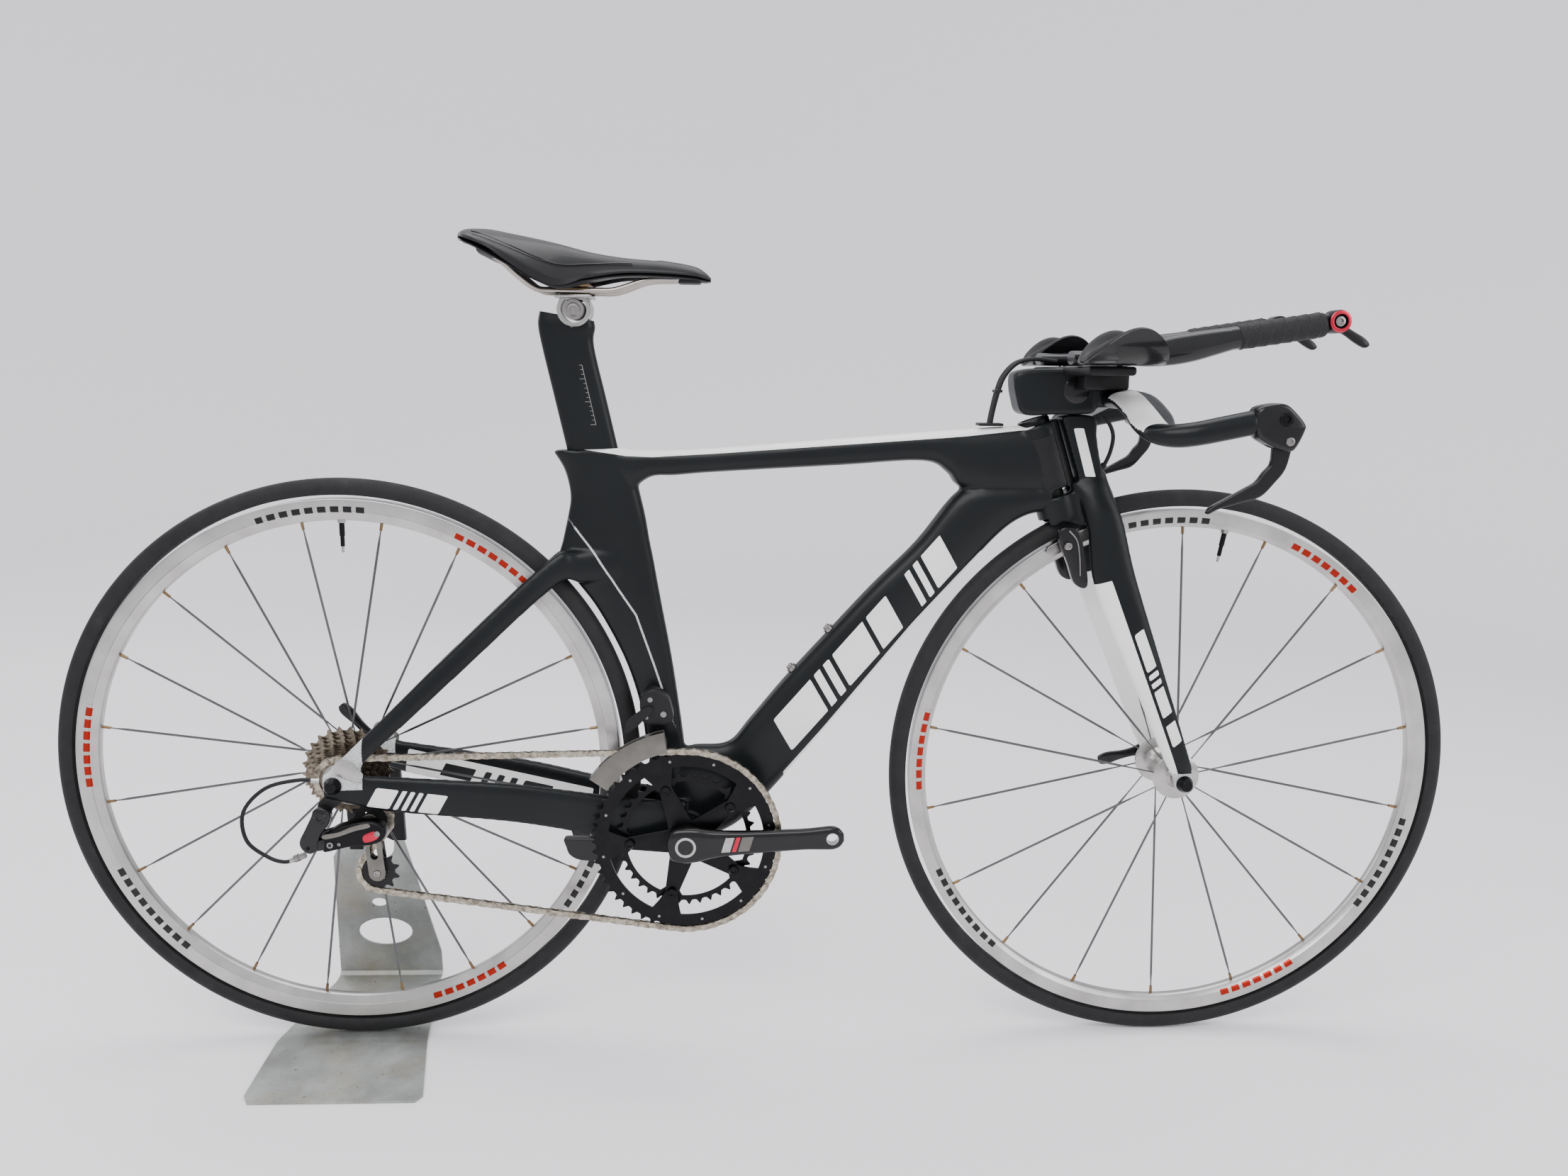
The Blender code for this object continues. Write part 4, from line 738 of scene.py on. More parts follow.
# ---------------------------------------------------------------- stand
def build_stand():
    """Steel sheet, and the thick rubber dip over the two prongs on its upright."""
    repaint("stand_plate", "stand")
    outline = ([(0.0302, 0.2085), (0.0305, 0.3445)] + arc((0.0225, 0.3445), 0.0080, 10, 170, 12)
               + [(0.0145, 0.3445), (0.0138, 0.2440), (0.0120, 0.2350), (0.0060, 0.2295),
                  (-0.0055, 0.2285), (-0.0160, 0.2295), (-0.0220, 0.2350), (-0.0240, 0.2440),
                  (-0.0228, 0.3445)] + arc((-0.0305, 0.3445), 0.0077, 10, 170, 12)
               + [(-0.0382, 0.3445), (-0.0398, 0.2420), (-0.0402, 0.1960), (-0.0236, 0.1960),
                  (-0.0226, 0.2060), (-0.0170, 0.2130), (-0.0055, 0.2150), (0.0080, 0.2120),
                  (0.0138, 0.2085)])
    prongs = plate(outline, 0.0, 0.0048, rounding=0.0020)
    for vert in prongs.verts:
        vert.co.y += 0.12375 - (vert.co.z - 0.0129) * 0.13165
    piece("hook_coating", prongs, "stand", "rubber", ["stand_hook"])


# ---------------------------------------------------------------- frame skin
TOP_TUBE = (
    ((0.3050, 0.7082), (0.3290, 0.6650), 0.0, 0.0150),
    ((0.3400, 0.7068), (0.3490, 0.6775), 0.0, 0.0162),
    ((0.3700, 0.7072), (0.3750, 0.6790), 0.0, 0.0166),
    ((0.4200, 0.7100), (0.4200, 0.6830), 0.0, 0.0170),
    ((0.5600, 0.7220), (0.5600, 0.6920), 0.0, 0.0185),
    ((0.6550, 0.7302), (0.6540, 0.6980), 0.0, 0.0198),
    ((0.6850, 0.7328), (0.6830, 0.6850), 0.0, 0.0207),
    ((0.7000, 0.7340), (0.6985, 0.6690), 0.0, 0.0210),
    ((0.7500, 0.7378), (0.7520, 0.6600), 0.0, 0.0212),
    ((0.7880, 0.7405), (0.8030, 0.6600), 0.0, 0.0212))
DOWN_TUBE = (
    ((0.3750, 0.3560), (0.3800, 0.2500), 0.0, 0.0120),
    ((0.3950, 0.3635), (0.4000, 0.2480), 0.0, 0.0135),
    ((0.4350, 0.3670), (0.4420, 0.2640), 0.0, 0.0160),
    ((0.4600, 0.3950), (0.4820, 0.3030), 0.0, 0.0175),
    ((0.5000, 0.4440), (0.5560, 0.3920), 0.0, 0.0185),
    ((0.5500, 0.5000), (0.6040, 0.4520), 0.0, 0.0188),
    ((0.6000, 0.5550), (0.6545, 0.5140), 0.0, 0.0190),
    ((0.6500, 0.6060), (0.7000, 0.5650), 0.0, 0.0195),
    ((0.6990, 0.6660), (0.7450, 0.6150), 0.0, 0.0205),
    ((0.7450, 0.6720), (0.7750, 0.6362), 0.0, 0.0210),
    ((0.8000, 0.6720), (0.8060, 0.6425), 0.0, 0.0205))
SEAT_TUBE = (
    ((0.3890, 0.2700), (0.3560, 0.2620), 0.0, 0.0120),
    ((0.3880, 0.3300), (0.3455, 0.3300), 0.0, 0.0120),
    ((0.3840, 0.3710), (0.3390, 0.3710), 0.0, 0.0122),
    ((0.3775, 0.4200), (0.3315, 0.4180), 0.0, 0.0122),
    ((0.3700, 0.4700), (0.3142, 0.4700), 0.0, 0.0124),
    ((0.3600, 0.5250), (0.2857, 0.5245), 0.0, 0.0128),
    ((0.3550, 0.5530), (0.2625, 0.5560), 0.0, 0.0132),
    ((0.3500, 0.5820), (0.2430, 0.5820), 0.0, 0.0136),
    ((0.3455, 0.6050), (0.2470, 0.6050), 0.0, 0.0139),
    ((0.3410, 0.6320), (0.2535, 0.6340), 0.0, 0.0145),
    ((0.3345, 0.6605), (0.2565, 0.6560), 0.0, 0.0150),
    ((0.3280, 0.6860), (0.2505, 0.6840), 0.0, 0.0155),
    ((0.3178, 0.7092), (0.2375, 0.7060), 0.0, 0.0155))
CHAIN_STAY = (
    ((-0.0120, 0.3520), (-0.0120, 0.3230), 0.0708, 0.0055),
    ((0.0220, 0.3495), (0.0170, 0.3150), 0.0690, 0.0055),
    ((0.0520, 0.3462), (0.0600, 0.3040), 0.0640, 0.0058),
    ((0.1900, 0.3310), (0.1900, 0.2850), 0.0455, 0.0062),
    ((0.2900, 0.3130), (0.2850, 0.2630), 0.0315, 0.0068),
    ((0.3450, 0.3050), (0.3450, 0.2500), 0.0240, 0.0070),
    ((0.3880, 0.3000), (0.3800, 0.2500), 0.0190, 0.0070))
SEAT_STAY = (
    ((-0.0070, 0.3535), (0.0300, 0.3508), 0.0690, 0.0050),
    ((0.0135, 0.3735), (0.0340, 0.3640), 0.0660, 0.0056),
    ((0.0700, 0.4290), (0.0900, 0.4160), 0.0555, 0.0060),
    ((0.1180, 0.4765), (0.1395, 0.4620), 0.0460, 0.0062),
    ((0.2340, 0.5850), (0.2400, 0.5540), 0.0240, 0.0068),
    ((0.2640, 0.5930), (0.2700, 0.5570), 0.0140, 0.0075),
    ((0.3100, 0.5990), (0.3150, 0.5600), 0.0070, 0.0075))
FRAME_NODES = ("top_tube", "down_tube", "seat_tube", "head_tube", "chain_stay_right",
               "chain_stay_left", "seat_stay_right", "seat_stay_left")
VOXEL = 0.0022
HEAD_ANGLE = math.radians(72.0)
HEAD_FORWARD = Vector((math.sin(HEAD_ANGLE), 0.0, math.cos(HEAD_ANGLE)))
HEAD_RADII = (0.0256, 0.0222)
POST_HALF_WIDTH = 0.0105
FAR = 9.0


def steer_x(z):
    """Where the steering axis is at a height."""
    return 0.794 - (z - 0.700) / math.tan(HEAD_ANGLE)


def head_centre(z):
    return Vector((steer_x(z), 0.0, z)) + HEAD_FORWARD * 0.0012


def steer_rod(z0, z1, radius, sides):
    return rod((steer_x(z0), 0.0, z0), (steer_x(z1), 0.0, z1), radius, sides)


def post_edges(z):
    """Front and rear edge of the seat post at a height."""
    rear = 0.2250 + (0.834 - z) * 0.2258
    return (rear + 0.0572, z), (rear, z)


def cut_away(obj, tool_mesh, name):
    tool = loose(name, tool_mesh)
    cut = obj.modifiers.new("cut", 'BOOLEAN')
    cut.operation = 'DIFFERENCE'
    cut.solver = 'EXACT'
    cut.object = tool
    applied(obj)
    bpy.data.objects.remove(tool, do_unlink=True)


def melted(obj, voxel, rounds):
    """One skin from overlapping shapes, with soft fillets where they meet."""
    remesh = obj.modifiers.new("melt", 'REMESH')
    remesh.mode = 'VOXEL'
    remesh.voxel_size = voxel
    soften = obj.modifiers.new("soften", 'SMOOTH')
    soften.iterations = rounds
    soften.factor = 0.5
    return applied(obj)


def side_of(point, line):
    """Distance from a chain of segments, positive on one side and negative on the other."""
    best = FAR
    for a, b in zip(line, line[1:]):
        run = b - a
        t = max(0.0, min(1.0, (point - a).dot(run) / run.length ** 2))
        offset = point - a - run * t
        if offset.length < abs(best):
            best = math.copysign(offset.length, run.x * offset.y - run.y * offset.x)
    return best


def height_on(line, x):
    """Height of a chain of segments, or far above it beyond its ends."""
    for (x0, z0), (x1, z1) in zip(line, line[1:]):
        if x0 <= x <= x1:
            return z0 + (z1 - z0) * (x - x0) / (x1 - x0)
    return FAR


def mark_block(u, v, start, width, half_height, slant):
    """Signed distance into one slanted block, positive inside."""
    s = u - slant * v
    return min(s - start, start + width - s, v + half_height, half_height - v)


def along_tube(flat, origin, run):
    """Place in a side view, measured along and across a tube."""
    rel = flat - Vector(origin)
    return rel.dot(run), rel.dot(Vector((-run.y, run.x)))


# start and width of each slanted block along its tube
DOWN_MARKS = ((0.000, 0.064), (0.070, 0.010), (0.086, 0.010), (0.102, 0.052), (0.160, 0.034),
              (0.226, 0.008), (0.240, 0.008), (0.254, 0.032))
STAY_MARKS = ((0.000, 0.024), (0.028, 0.005), (0.037, 0.005), (0.046, 0.005), (0.055, 0.022))
WHITE_LINE = ((0.2620, 0.7085), (0.2820, 0.7065), (0.3200, 0.7008), (0.3500, 0.7000),
              (0.4200, 0.7045), (0.7000, 0.7265), (0.7700, 0.7345), (0.7800, 0.7400))
UNDER_LINE = [Vector(p) for p in ((0.500, 0.3265), (0.550, 0.3850), (0.600, 0.4470),
                                  (0.650, 0.5090), (0.700, 0.5650), (0.725, 0.5920))]
SEAM_LINE = [Vector(p) for p in ((0.262, 0.620), (0.285, 0.590), (0.310, 0.550),
                                 (0.330, 0.520), (0.350, 0.462), (0.370, 0.400))]


def frame_marks(point, normal):
    """Signed distances of the white and of the silver paint at a point of the frame."""
    x, y, z = point
    flat = Vector((x, z))
    white = -1.0
    if 0.262 < x < 0.78 and z > 0.68:  # white top of the top tube
        white = z - height_on(WHITE_LINE, x)
    if x > 0.50 and z < 0.62:  # white edge under the down tube
        white = max(white, 0.0042 - abs(side_of(flat, UNDER_LINE)))
    if abs(normal.y) > 0.4 and x > 0.44 and z > 0.36:
        u, v = along_tube(flat, (0.4990, 0.3790), Vector((0.2750, 0.3200)).normalized())
        for start, width in DOWN_MARKS:
            white = max(white, mark_block(u, v, start, width, 0.0205, 0.35))
    if x < 0.36 and z < 0.36:
        u, v = along_tube(flat, (0.0400, 0.3240), Vector((0.985, -0.172)))
        if y < 0.0 and normal.y < -0.4:
            for start, width in STAY_MARKS:
                white = max(white, mark_block(u, v, start, width, 0.0115, 0.35))
        if y > 0.01:  # white panel inside the left stay, with dark blocks left in it
            patch = min(u - 0.005, 0.235 - u, v + 0.017, 0.0165 - v, -normal.y - 0.2)
            for start, width in STAY_MARKS:
                patch = min(patch, -mark_block(u, v, start * 1.8 + 0.05, width * 1.6, 0.0085,
                                               0.35))
            white = max(white, patch)
    silver = 1.0
    if z > 0.385 and 0.24 < x < 0.38:
        silver = side_of(flat, SEAM_LINE)
    if x < 0.035 and z > 0.333:  # bare dropouts
        silver = max(0.0, x - 0.030)
    return white, silver


def hold_marks(obj, rule):
    """Store the paint's signed distances in the mesh, so that its edges stay crisp."""
    mesh = obj.data
    white = mesh.attributes.new("white", 'FLOAT', 'POINT')
    silver = mesh.attributes.new("silver", 'FLOAT', 'POINT')
    for i, vertex in enumerate(mesh.vertices):
        white.data[i].value, silver.data[i].value = rule(vertex.co, vertex.normal)


def head_strip(low, high, first, turn, grow):
    """Thin shell on the head tube, between two heights, over part of its girth in degrees."""
    angles = [math.radians(first + turn * k / 16.0) for k in range(17)]
    rings = []
    for k in range(6):
        z = low + (high - low) * k / 5.0
        ring = [[head_centre(z) + HEAD_FORWARD * (HEAD_RADII[0] + g) * math.cos(a)
                 + Vector((0.0, (HEAD_RADII[1] + g) * math.sin(a), 0.0)) for a in angles]
                for g in (grow, grow - 0.0014)]
        rings.append(ring[0] + ring[1][::-1])
    return skin(rings)


def build_frame_skin():
    """Eight tubes in one skin, hollowed for wheel, post, bracket and steerer."""
    solids = [side_loft(TOP_TUBE, power=3.0), side_loft(DOWN_TUBE, power=2.6),
              side_loft(SEAT_TUBE, power=2.8),
              cross_rod(CRANK_AXIS, -0.0400, 0.0400, 0.0212, 48)]
    for _, side in SIDES:
        solids.append(side_loft(CHAIN_STAY, side, power=2.8))
        solids.append(side_loft(SEAT_STAY, side, power=2.4))
    solids.append(skin([section(head_centre(z), HEAD_FORWARD, SIDEWAYS, *HEAD_RADII, 40, 2.0)
                        for z in (0.6668, 0.6900, 0.7150, 0.7400)]))
    body = melted(loose("frame_skin", joined(*solids)), VOXEL, 10)
    cut_away(body, cross_rod(REAR_AXLE, -0.0215, 0.0215, 0.3400, 160), "wheel_well")
    cut_away(body, side_loft([(*post_edges(z), 0.0, POST_HALF_WIDTH) for z in (0.5550, 0.7300)],
                             power=3.0, grow=0.0004), "post_pocket")
    cut_away(body, cross_rod(CRANK_AXIS, -0.06, 0.06, 0.0127, 32), "bracket_bore")
    cut_away(body, steer_rod(0.60, 0.80, 0.0125, 32), "steerer_bore")
    hold_marks(body, frame_marks)
    settle(body, "frame", "frame", FRAME_NODES, 32.0)
    build_frame_fittings()


def build_frame_fittings():
    """Headset cover, guards where the cables rub, bottle-cage studs and dropout faces."""
    ring = turned([(0.0135, 0.0), (0.0178, 0.0), (0.0182, 0.0040), (0.0172, 0.0062),
                   (0.0135, 0.0062)], ORIGIN, 48)
    tilt = Matrix.Rotation(-(math.pi / 2.0 - HEAD_ANGLE), 4, 'Y')
    transformed(ring, Matrix.Translation((steer_x(0.7400), 0.0, 0.7400)) @ tilt
                @ Matrix.Rotation(math.pi / 2.0, 4, 'X'))
    piece("headset_cover", ring, "frame", "black_metal")
    guards = [head_strip(0.6720, 0.7260, start, 56.0, 0.0006) for start in (62.0, -118.0)]
    piece("cable_guards", joined(*guards), "frame", "satin")
    piece("head_front", head_strip(0.6675, 0.7385, -58.0, 116.0, 0.0005), "frame", "satin")
    out = Vector((-0.743, 0.0, 0.669))
    studs = []
    for x, z in ((0.5100, 0.4550), (0.5520, 0.5017)):
        root = Vector((x, 0.0, z))
        studs.append(rod(root - out * 0.004, root + out * 0.0030, 0.0062, 24))
        studs.append(rod(root, root + out * 0.0060, 0.0042, 20))
    piece("bottle_bolts", joined(*studs), "frame", "steel")
    for label, side in SIDES:
        face = capsule((0.0120, 0.3590), 0.0105, (0.0260, 0.3500), 0.0070)
        piece("dropout_face_" + label, plate(face, side * 0.0752, 0.0006, rounding=0.0002),
              "frame", "silver")


# ---------------------------------------------------------------- saddle and post
SADDLE = (
    # x, top, half width, droop of the sides, depth
    (0.1430, 0.9350, 0.0160, 0.0010, 0.0040),
    (0.1465, 0.9400, 0.0330, 0.0030, 0.0080),
    (0.1550, 0.9430, 0.0480, 0.0070, 0.0120),
    (0.1750, 0.9432, 0.0620, 0.0140, 0.0150),
    (0.2000, 0.9392, 0.0652, 0.0220, 0.0165),
    (0.2300, 0.9340, 0.0580, 0.0330, 0.0165),
    (0.2550, 0.9290, 0.0440, 0.0360, 0.0160),
    (0.2850, 0.9220, 0.0310, 0.0230, 0.0150),
    (0.3200, 0.9170, 0.0245, 0.0130, 0.0130),
    (0.3600, 0.9140, 0.0213, 0.0100, 0.0120),
    (0.3950, 0.9085, 0.0180, 0.0070, 0.0105),
    (0.4080, 0.9020, 0.0130, 0.0040, 0.0080),
    (0.4145, 0.8960, 0.0060, 0.0010, 0.0040))


def saddle_rings(inset, start, share):
    """Layer of the saddle between two shares of its depth."""
    rings = []
    for x, top, half, droop, depth in catmull(SADDLE, 5):
        ring = []
        for k in range(36):
            a = 2.0 * math.pi * k / 36
            c, s = math.cos(a), math.sin(a)
            across = math.copysign(abs(c) ** 0.8, c)
            crown = top - droop * abs(across) ** 2.6 - depth * start
            dip = 0.0016 * math.exp(-(across * half / 0.008) ** 2) if 0.19 < x < 0.36 else 0.0
            level = math.copysign(abs(s) ** 0.75, s) - 1.0
            ring.append(Vector((x, across * (half - inset), crown + level * depth * share / 2.0
                                - (dip if s > 0 and start == 0.0 else 0.0))))
        rings.append(ring)
    return rings


def build_saddle():
    """Cushion, hull, seams, side panels and rails, then the clamp and the post."""
    pad = piece("saddle_cushion", skin(saddle_rings(0.0, 0.0, 0.74)), "saddle", "cover",
                ["saddle_pad"], 60.0)
    piece("saddle_hull", skin(saddle_rings(0.0006, 0.66, 0.36)), "saddle", "gloss",
          ["saddle_shell"], 60.0)
    for label, side in SIDES:
        edge = [(x, side * (half * 0.86), top - droop * 0.86 ** 2.6 + 0.0004)
                for x, top, half, droop, depth in catmull(SADDLE, 4)[10:34]]
        piece("saddle_seam_" + label, tube(edge, 0.0007, 6, 2), "saddle", "cover_gloss")
        panel = [Vector((x, side * (half * 1.001 + 0.0004), top - droop - depth * 0.20))
                 for x, top, half, droop, depth in catmull(SADDLE[3:8], 6)]
        lower = [p + Vector((0.0, -side * 0.0012, -0.0088 * math.sin(
            math.pi * (i + 1.0) / (len(panel) + 1)))) for i, p in enumerate(panel)]
        inward = SIDEWAYS * (-side * 0.0015)
        rings = [[a, b, b + inward, a + inward] for a, b in zip(panel, lower)]
        piece("saddle_panel_" + label, skin(rings), "saddle", "cover_gloss", angle=60.0)
    half = [(0.184, 0.036, 0.9140), (0.195, 0.033, 0.9060), (0.208, 0.028, 0.8940),
            (0.226, 0.0225, 0.8812), (0.245, 0.022, 0.8793), (0.290, 0.022, 0.8793),
            (0.312, 0.0215, 0.8805), (0.345, 0.0150, 0.8915), (0.372, 0.0110, 0.8932),
            (0.386, 0.0060, 0.8940)]
    route = [(x, -y, z) for x, y, z in half] + half[::-1]
    piece("rails", tube(route, 0.0035, 14, 5), "saddle", "titanium", ["saddle_rails"])
    piece("rail_nose_socket", slab((0.378, -0.0130, 0.8890), (0.404, 0.0130, 0.9000), 0.003),
          "saddle", "satin")
    tail = [((0.1630, 0.9260), (0.1660, 0.9160), 0.0, 0.030),
            ((0.1800, 0.9240), (0.1840, 0.9080), 0.0, 0.042),
            ((0.2020, 0.9200), (0.2040, 0.9040), 0.0, 0.038)]
    piece("tail_bumper", side_loft(tail, power=3.0), "saddle", "satin")
    build_saddle_clamp()
    build_post()


def build_saddle_clamp():
    """Round clamp with its cradle, lid and screw."""
    ring = turned([(0.0140, -0.0172), (0.0178, -0.0172), (0.0185, -0.0164), (0.0185, 0.0164),
                   (0.0178, 0.0172), (0.0140, 0.0172)], SEAT_RING, 64)
    cradle = slab((0.2460, -0.0270, 0.8716), (0.2850, 0.0270, 0.8752), 0.0010)
    neck = slab((0.2500, -0.0150, 0.8690), (0.2795, 0.0150, 0.8790))
    piece("seat_ring", joined(ring, cradle, neck), "saddle", "silver", ["seat_clamp"])
    lid = slab((0.2480, -0.0290, 0.8832), (0.2830, 0.0290, 0.8884), 0.0016)
    piece("rail_lid", joined(lid, slab((0.2560, -0.0100, 0.8780), (0.2750, 0.0100, 0.8850))),
          "saddle", "bronze")
    screws = joined(*(cross_rod(SEAT_RING, s * 0.0100, s * 0.0190, 0.0110, 32) for _, s in SIDES),
                    *(bolt(SEAT_RING, s * 0.0190, s, 0.0075, 0.0025) for _, s in SIDES))
    piece("ring_bolt", screws, "saddle", "steel")


def build_post():
    """Seat post with its seat for the clamp's ring, and a scale every 5 mm on its side."""
    stations = [(*post_edges(z), 0.0, POST_HALF_WIDTH)
                for z in (0.6000, 0.6500, 0.7000, 0.7600, 0.8200)]
    stations += [((0.2867, 0.8400), (0.2243, 0.8440), 0.0, 0.0122),
                 ((0.2858, 0.8480), (0.2262, 0.8580), 0.0, 0.0112)]
    post = loose("post", side_loft(stations, power=2.8))
    cut_away(post, cross_rod(SEAT_RING, -0.03, 0.03, 0.0188, 64), "ring_seat")
    hold_marks(post, lambda point, normal: (-1.0, 1.0))
    settle(post, "post", "frame", ["seatpost"], 32.0)
    low, high, y = 0.735, 0.800, -0.0102

    def scale_x(z):
        return post_edges(z)[1][0] + 0.040

    marks = [rod((scale_x(low), y, low), (scale_x(high), y, high), 0.00045, 6)]
    for k in range(14):
        z = low + 0.005 * k
        x = scale_x(z)
        marks.append(rod((x, y, z), (x - (0.003 if k % 5 else 0.006), y, z), 0.0004, 6))
    piece("post_scale", joined(*marks), "post", "silver")


# ---------------------------------------------------------------- fork and cockpit
FORK_LEG = (
    ((0.8620, 0.6900), (0.8200, 0.6740), 0.0100, 0.0110),
    ((0.8670, 0.6700), (0.8300, 0.6600), 0.0180, 0.0115),
    ((0.8800, 0.6350), (0.8400, 0.6250), 0.0300, 0.0092),
    ((0.8960, 0.5720), (0.8500, 0.5560), 0.0385, 0.0085),
    ((0.9300, 0.4700), (0.8930, 0.4580), 0.0478, 0.0074),
    ((0.9620, 0.3740), (0.9340, 0.3650), 0.0560, 0.0064),
    ((0.9715, 0.3440), (0.9480, 0.3380), 0.0555, 0.0044),
    ((0.9700, 0.3240), (0.9510, 0.3235), 0.0552, 0.0042))
FORK_MARKS = ((0.000, 0.046), (0.050, 0.006), (0.060, 0.006), (0.070, 0.032), (0.112, 0.026))


def fork_marks(point, normal):
    """White rear half and inner side of each leg, slanted blocks, and a panel on the column."""
    x, y, z = point
    top, bottom = Vector((0.8720, 0.5640)), Vector((0.9600, 0.3340))
    u, v = along_tube(Vector((x, z)), top, (bottom - top).normalized())
    inner = abs(y) < 0.0385 + (0.564 - z) * 0.09
    white = min(0.566 - z + 0.3 * (x - 0.86), 0.02 if inner else -v - 0.0035)
    if abs(normal.y) > 0.5 and not inner:
        for start, width in FORK_MARKS:
            white = max(white, mark_block(u - 0.060, -(v - 0.0065), start, width, 0.0062, 0.3))
    if abs(normal.y) > 0.5 and z > 0.67:
        middle_x = 0.8352 - 0.30 * (z - 0.710)
        white = max(white, min(z - 0.683, 0.737 - z, 0.0058 - abs(x - middle_x)))
    return white, max(0.0, z - 0.345)


def build_fork():
    """Crown, column and legs in one skin."""
    crown = plate(rounded([
        (0.8078, 0.7480), (0.8100, 0.7500), (0.8450, 0.7500), (0.8492, 0.7250),
        (0.8560, 0.6950), (0.8660, 0.6740), (0.8715, 0.6540), (0.8500, 0.6300), (0.8200, 0.6300),
        (0.8150, 0.6450), (0.8180, 0.6630), (0.8290, 0.6655), (0.8320, 0.6740),
        (0.8236, 0.7000), (0.8138, 0.7300)]), 0.0, 0.0200)
    body = melted(loose("fork_skin", joined(crown, steer_rod(0.6300, 0.6600, 0.0236, 40),
                                            side_loft(FORK_LEG, -1.0),
                                            side_loft(FORK_LEG, 1.0))), VOXEL, 9)
    cut_away(body, cross_rod(FRONT_AXLE, -0.0172, 0.0172, 0.3410, 160), "wheel_well")
    cut_away(body, cuboid((FRONT_AXLE[0], 0.0, 0.3235), (0.0058, 0.16, 0.027)), "axle_slot")
    hold_marks(body, fork_marks)
    settle(body, "steerer", "fork", ["fork"], 32.0)
    piece("steerer_tube", steer_rod(0.6500, 0.7450, 0.0120, 32), "steerer", "satin")
    for label, side in SIDES:
        build_front_brake(label, side)


def build_front_brake(label, side):
    """Cast arm, holder, shoe, screw and return spring of one front brake arm."""
    body = "front_arm_" + label
    arm = [(0.8425, 0.5605), (0.8365, 0.6000), (0.8315, 0.6190), (0.8240, 0.6262),
           (0.8130, 0.6270), (0.8068, 0.6215), (0.8090, 0.6080), (0.8185, 0.5850),
           (0.8280, 0.5620)]
    piece("front_arm_cast_" + label, plate(rounded(arm, 5), side * 0.0305, 0.0058, rounding=0.002),
          body, "gloss", ["front_brake_" + label])
    build_pads(label, side, body, "front", (0.8170, 0.6060), (0.8797, 0.4755), 0.0300)
    spring = [(0.8180, side * 0.0368, 0.6230), (0.8270, side * 0.0370, 0.6120),
              (0.8310, side * 0.0370, 0.5950), (0.8330, side * 0.0368, 0.5720)]
    piece("front_spring_" + label, tube(spring, 0.0009, 8), body, "steel")


def build_pads(label, side, body, which, centre, direction, arm_y):
    """Brake shoe along a direction, with its rubber pad and the screw to its arm."""
    ends = [(centre[0] + s * 0.016 * direction[0], centre[1] + s * 0.016 * direction[1])
            for s in (-1.0, 1.0)]
    piece("%s_pad_%s" % (which, label),
          plate(capsule(ends[0], 0.0048, ends[1], 0.0048), side * 0.0136, 0.0018, rounding=0.0005),
          body, "rubber")
    piece("%s_shoe_%s" % (which, label),
          joined(plate(capsule(ends[0], 0.0050, ends[1], 0.0050), side * 0.0169, 0.0015,
                       rounding=0.0005),
                 cross_rod(centre, side * 0.0165, side * (arm_y + 0.0085), 0.0032, 16),
                 bolt(centre, side * (arm_y + 0.0080), side, 0.0048, 0.0028)),
          body, "steel")


def build_bars():
    """Stem and base bar in one skin, with the blocks and bridge that carry the rests."""
    stem = plate(rounded([
        (0.7525, 0.7900), (0.7570, 0.7990), (0.7750, 0.8025), (0.8000, 0.8030),
        (0.8370, 0.8032), (0.8452, 0.7950), (0.8460, 0.7750), (0.8455, 0.7560),
        (0.8300, 0.7525), (0.8000, 0.7518), (0.7650, 0.7515), (0.7560, 0.7680)]),
        0.0, 0.0215, rounding=0.004)
    half = [(0.8745, 0.0000, 0.7700, 0.0262, 0.0110), (0.8745, 0.0300, 0.7695, 0.0262, 0.0108),
            (0.8745, 0.0650, 0.7680, 0.0255, 0.0096), (0.8710, 0.1200, 0.7555, 0.0240, 0.0085),
            (0.8655, 0.1560, 0.7452, 0.0222, 0.0088), (0.8655, 0.1800, 0.7385, 0.0175, 0.0105),
            (0.8770, 0.1945, 0.7378, 0.0130, 0.0118), (0.8960, 0.1995, 0.7405, 0.0122, 0.0120),
            (0.9200, 0.2000, 0.7455, 0.0122, 0.0122), (0.9500, 0.2000, 0.7518, 0.0122, 0.0122)]
    route = [(x, -y, z, a, b) for x, y, z, a, b in half[:0:-1]] + half
    bar = path_loft(route, 2.2, 5)
    clamp = slab((0.8440, -0.0260, 0.7600), (0.8700, 0.0260, 0.7830), 0.003)
    body = melted(loose("bar_skin", joined(stem, bar, clamp)), 0.0018, 6)
    hold_marks(body, bar_marks)
    settle(body, "steerer", "bar", ["base_bar", "stem"], 32.0)
    risers = [slab((0.8220, s * 0.035 - 0.016, 0.7800), (0.8720, s * 0.035 + 0.016, 0.8032), 0.003)
              for _, s in SIDES]
    piece("riser_blocks", joined(*risers), "steerer", "satin")
    bridge = slab((0.8060, -0.1240, 0.7955), (0.8560, 0.1240, 0.8050), 0.0035)
    piece("rest_bridge", bridge, "steerer", "satin")
    covers = joined(*(turned([(0.0, s * 0.0228), (0.0120, s * 0.0228), (0.0145, s * 0.0218),
                              (0.0150, s * 0.0205), (0.0, s * 0.0205)][::1 if s > 0 else -1],
                             (0.8220, 0.7790), 40, open_ends=True) for _, s in SIDES))
    piece("stem_covers", covers, "steerer", "gloss")
    for label, side in SIDES:
        build_side(label, side)


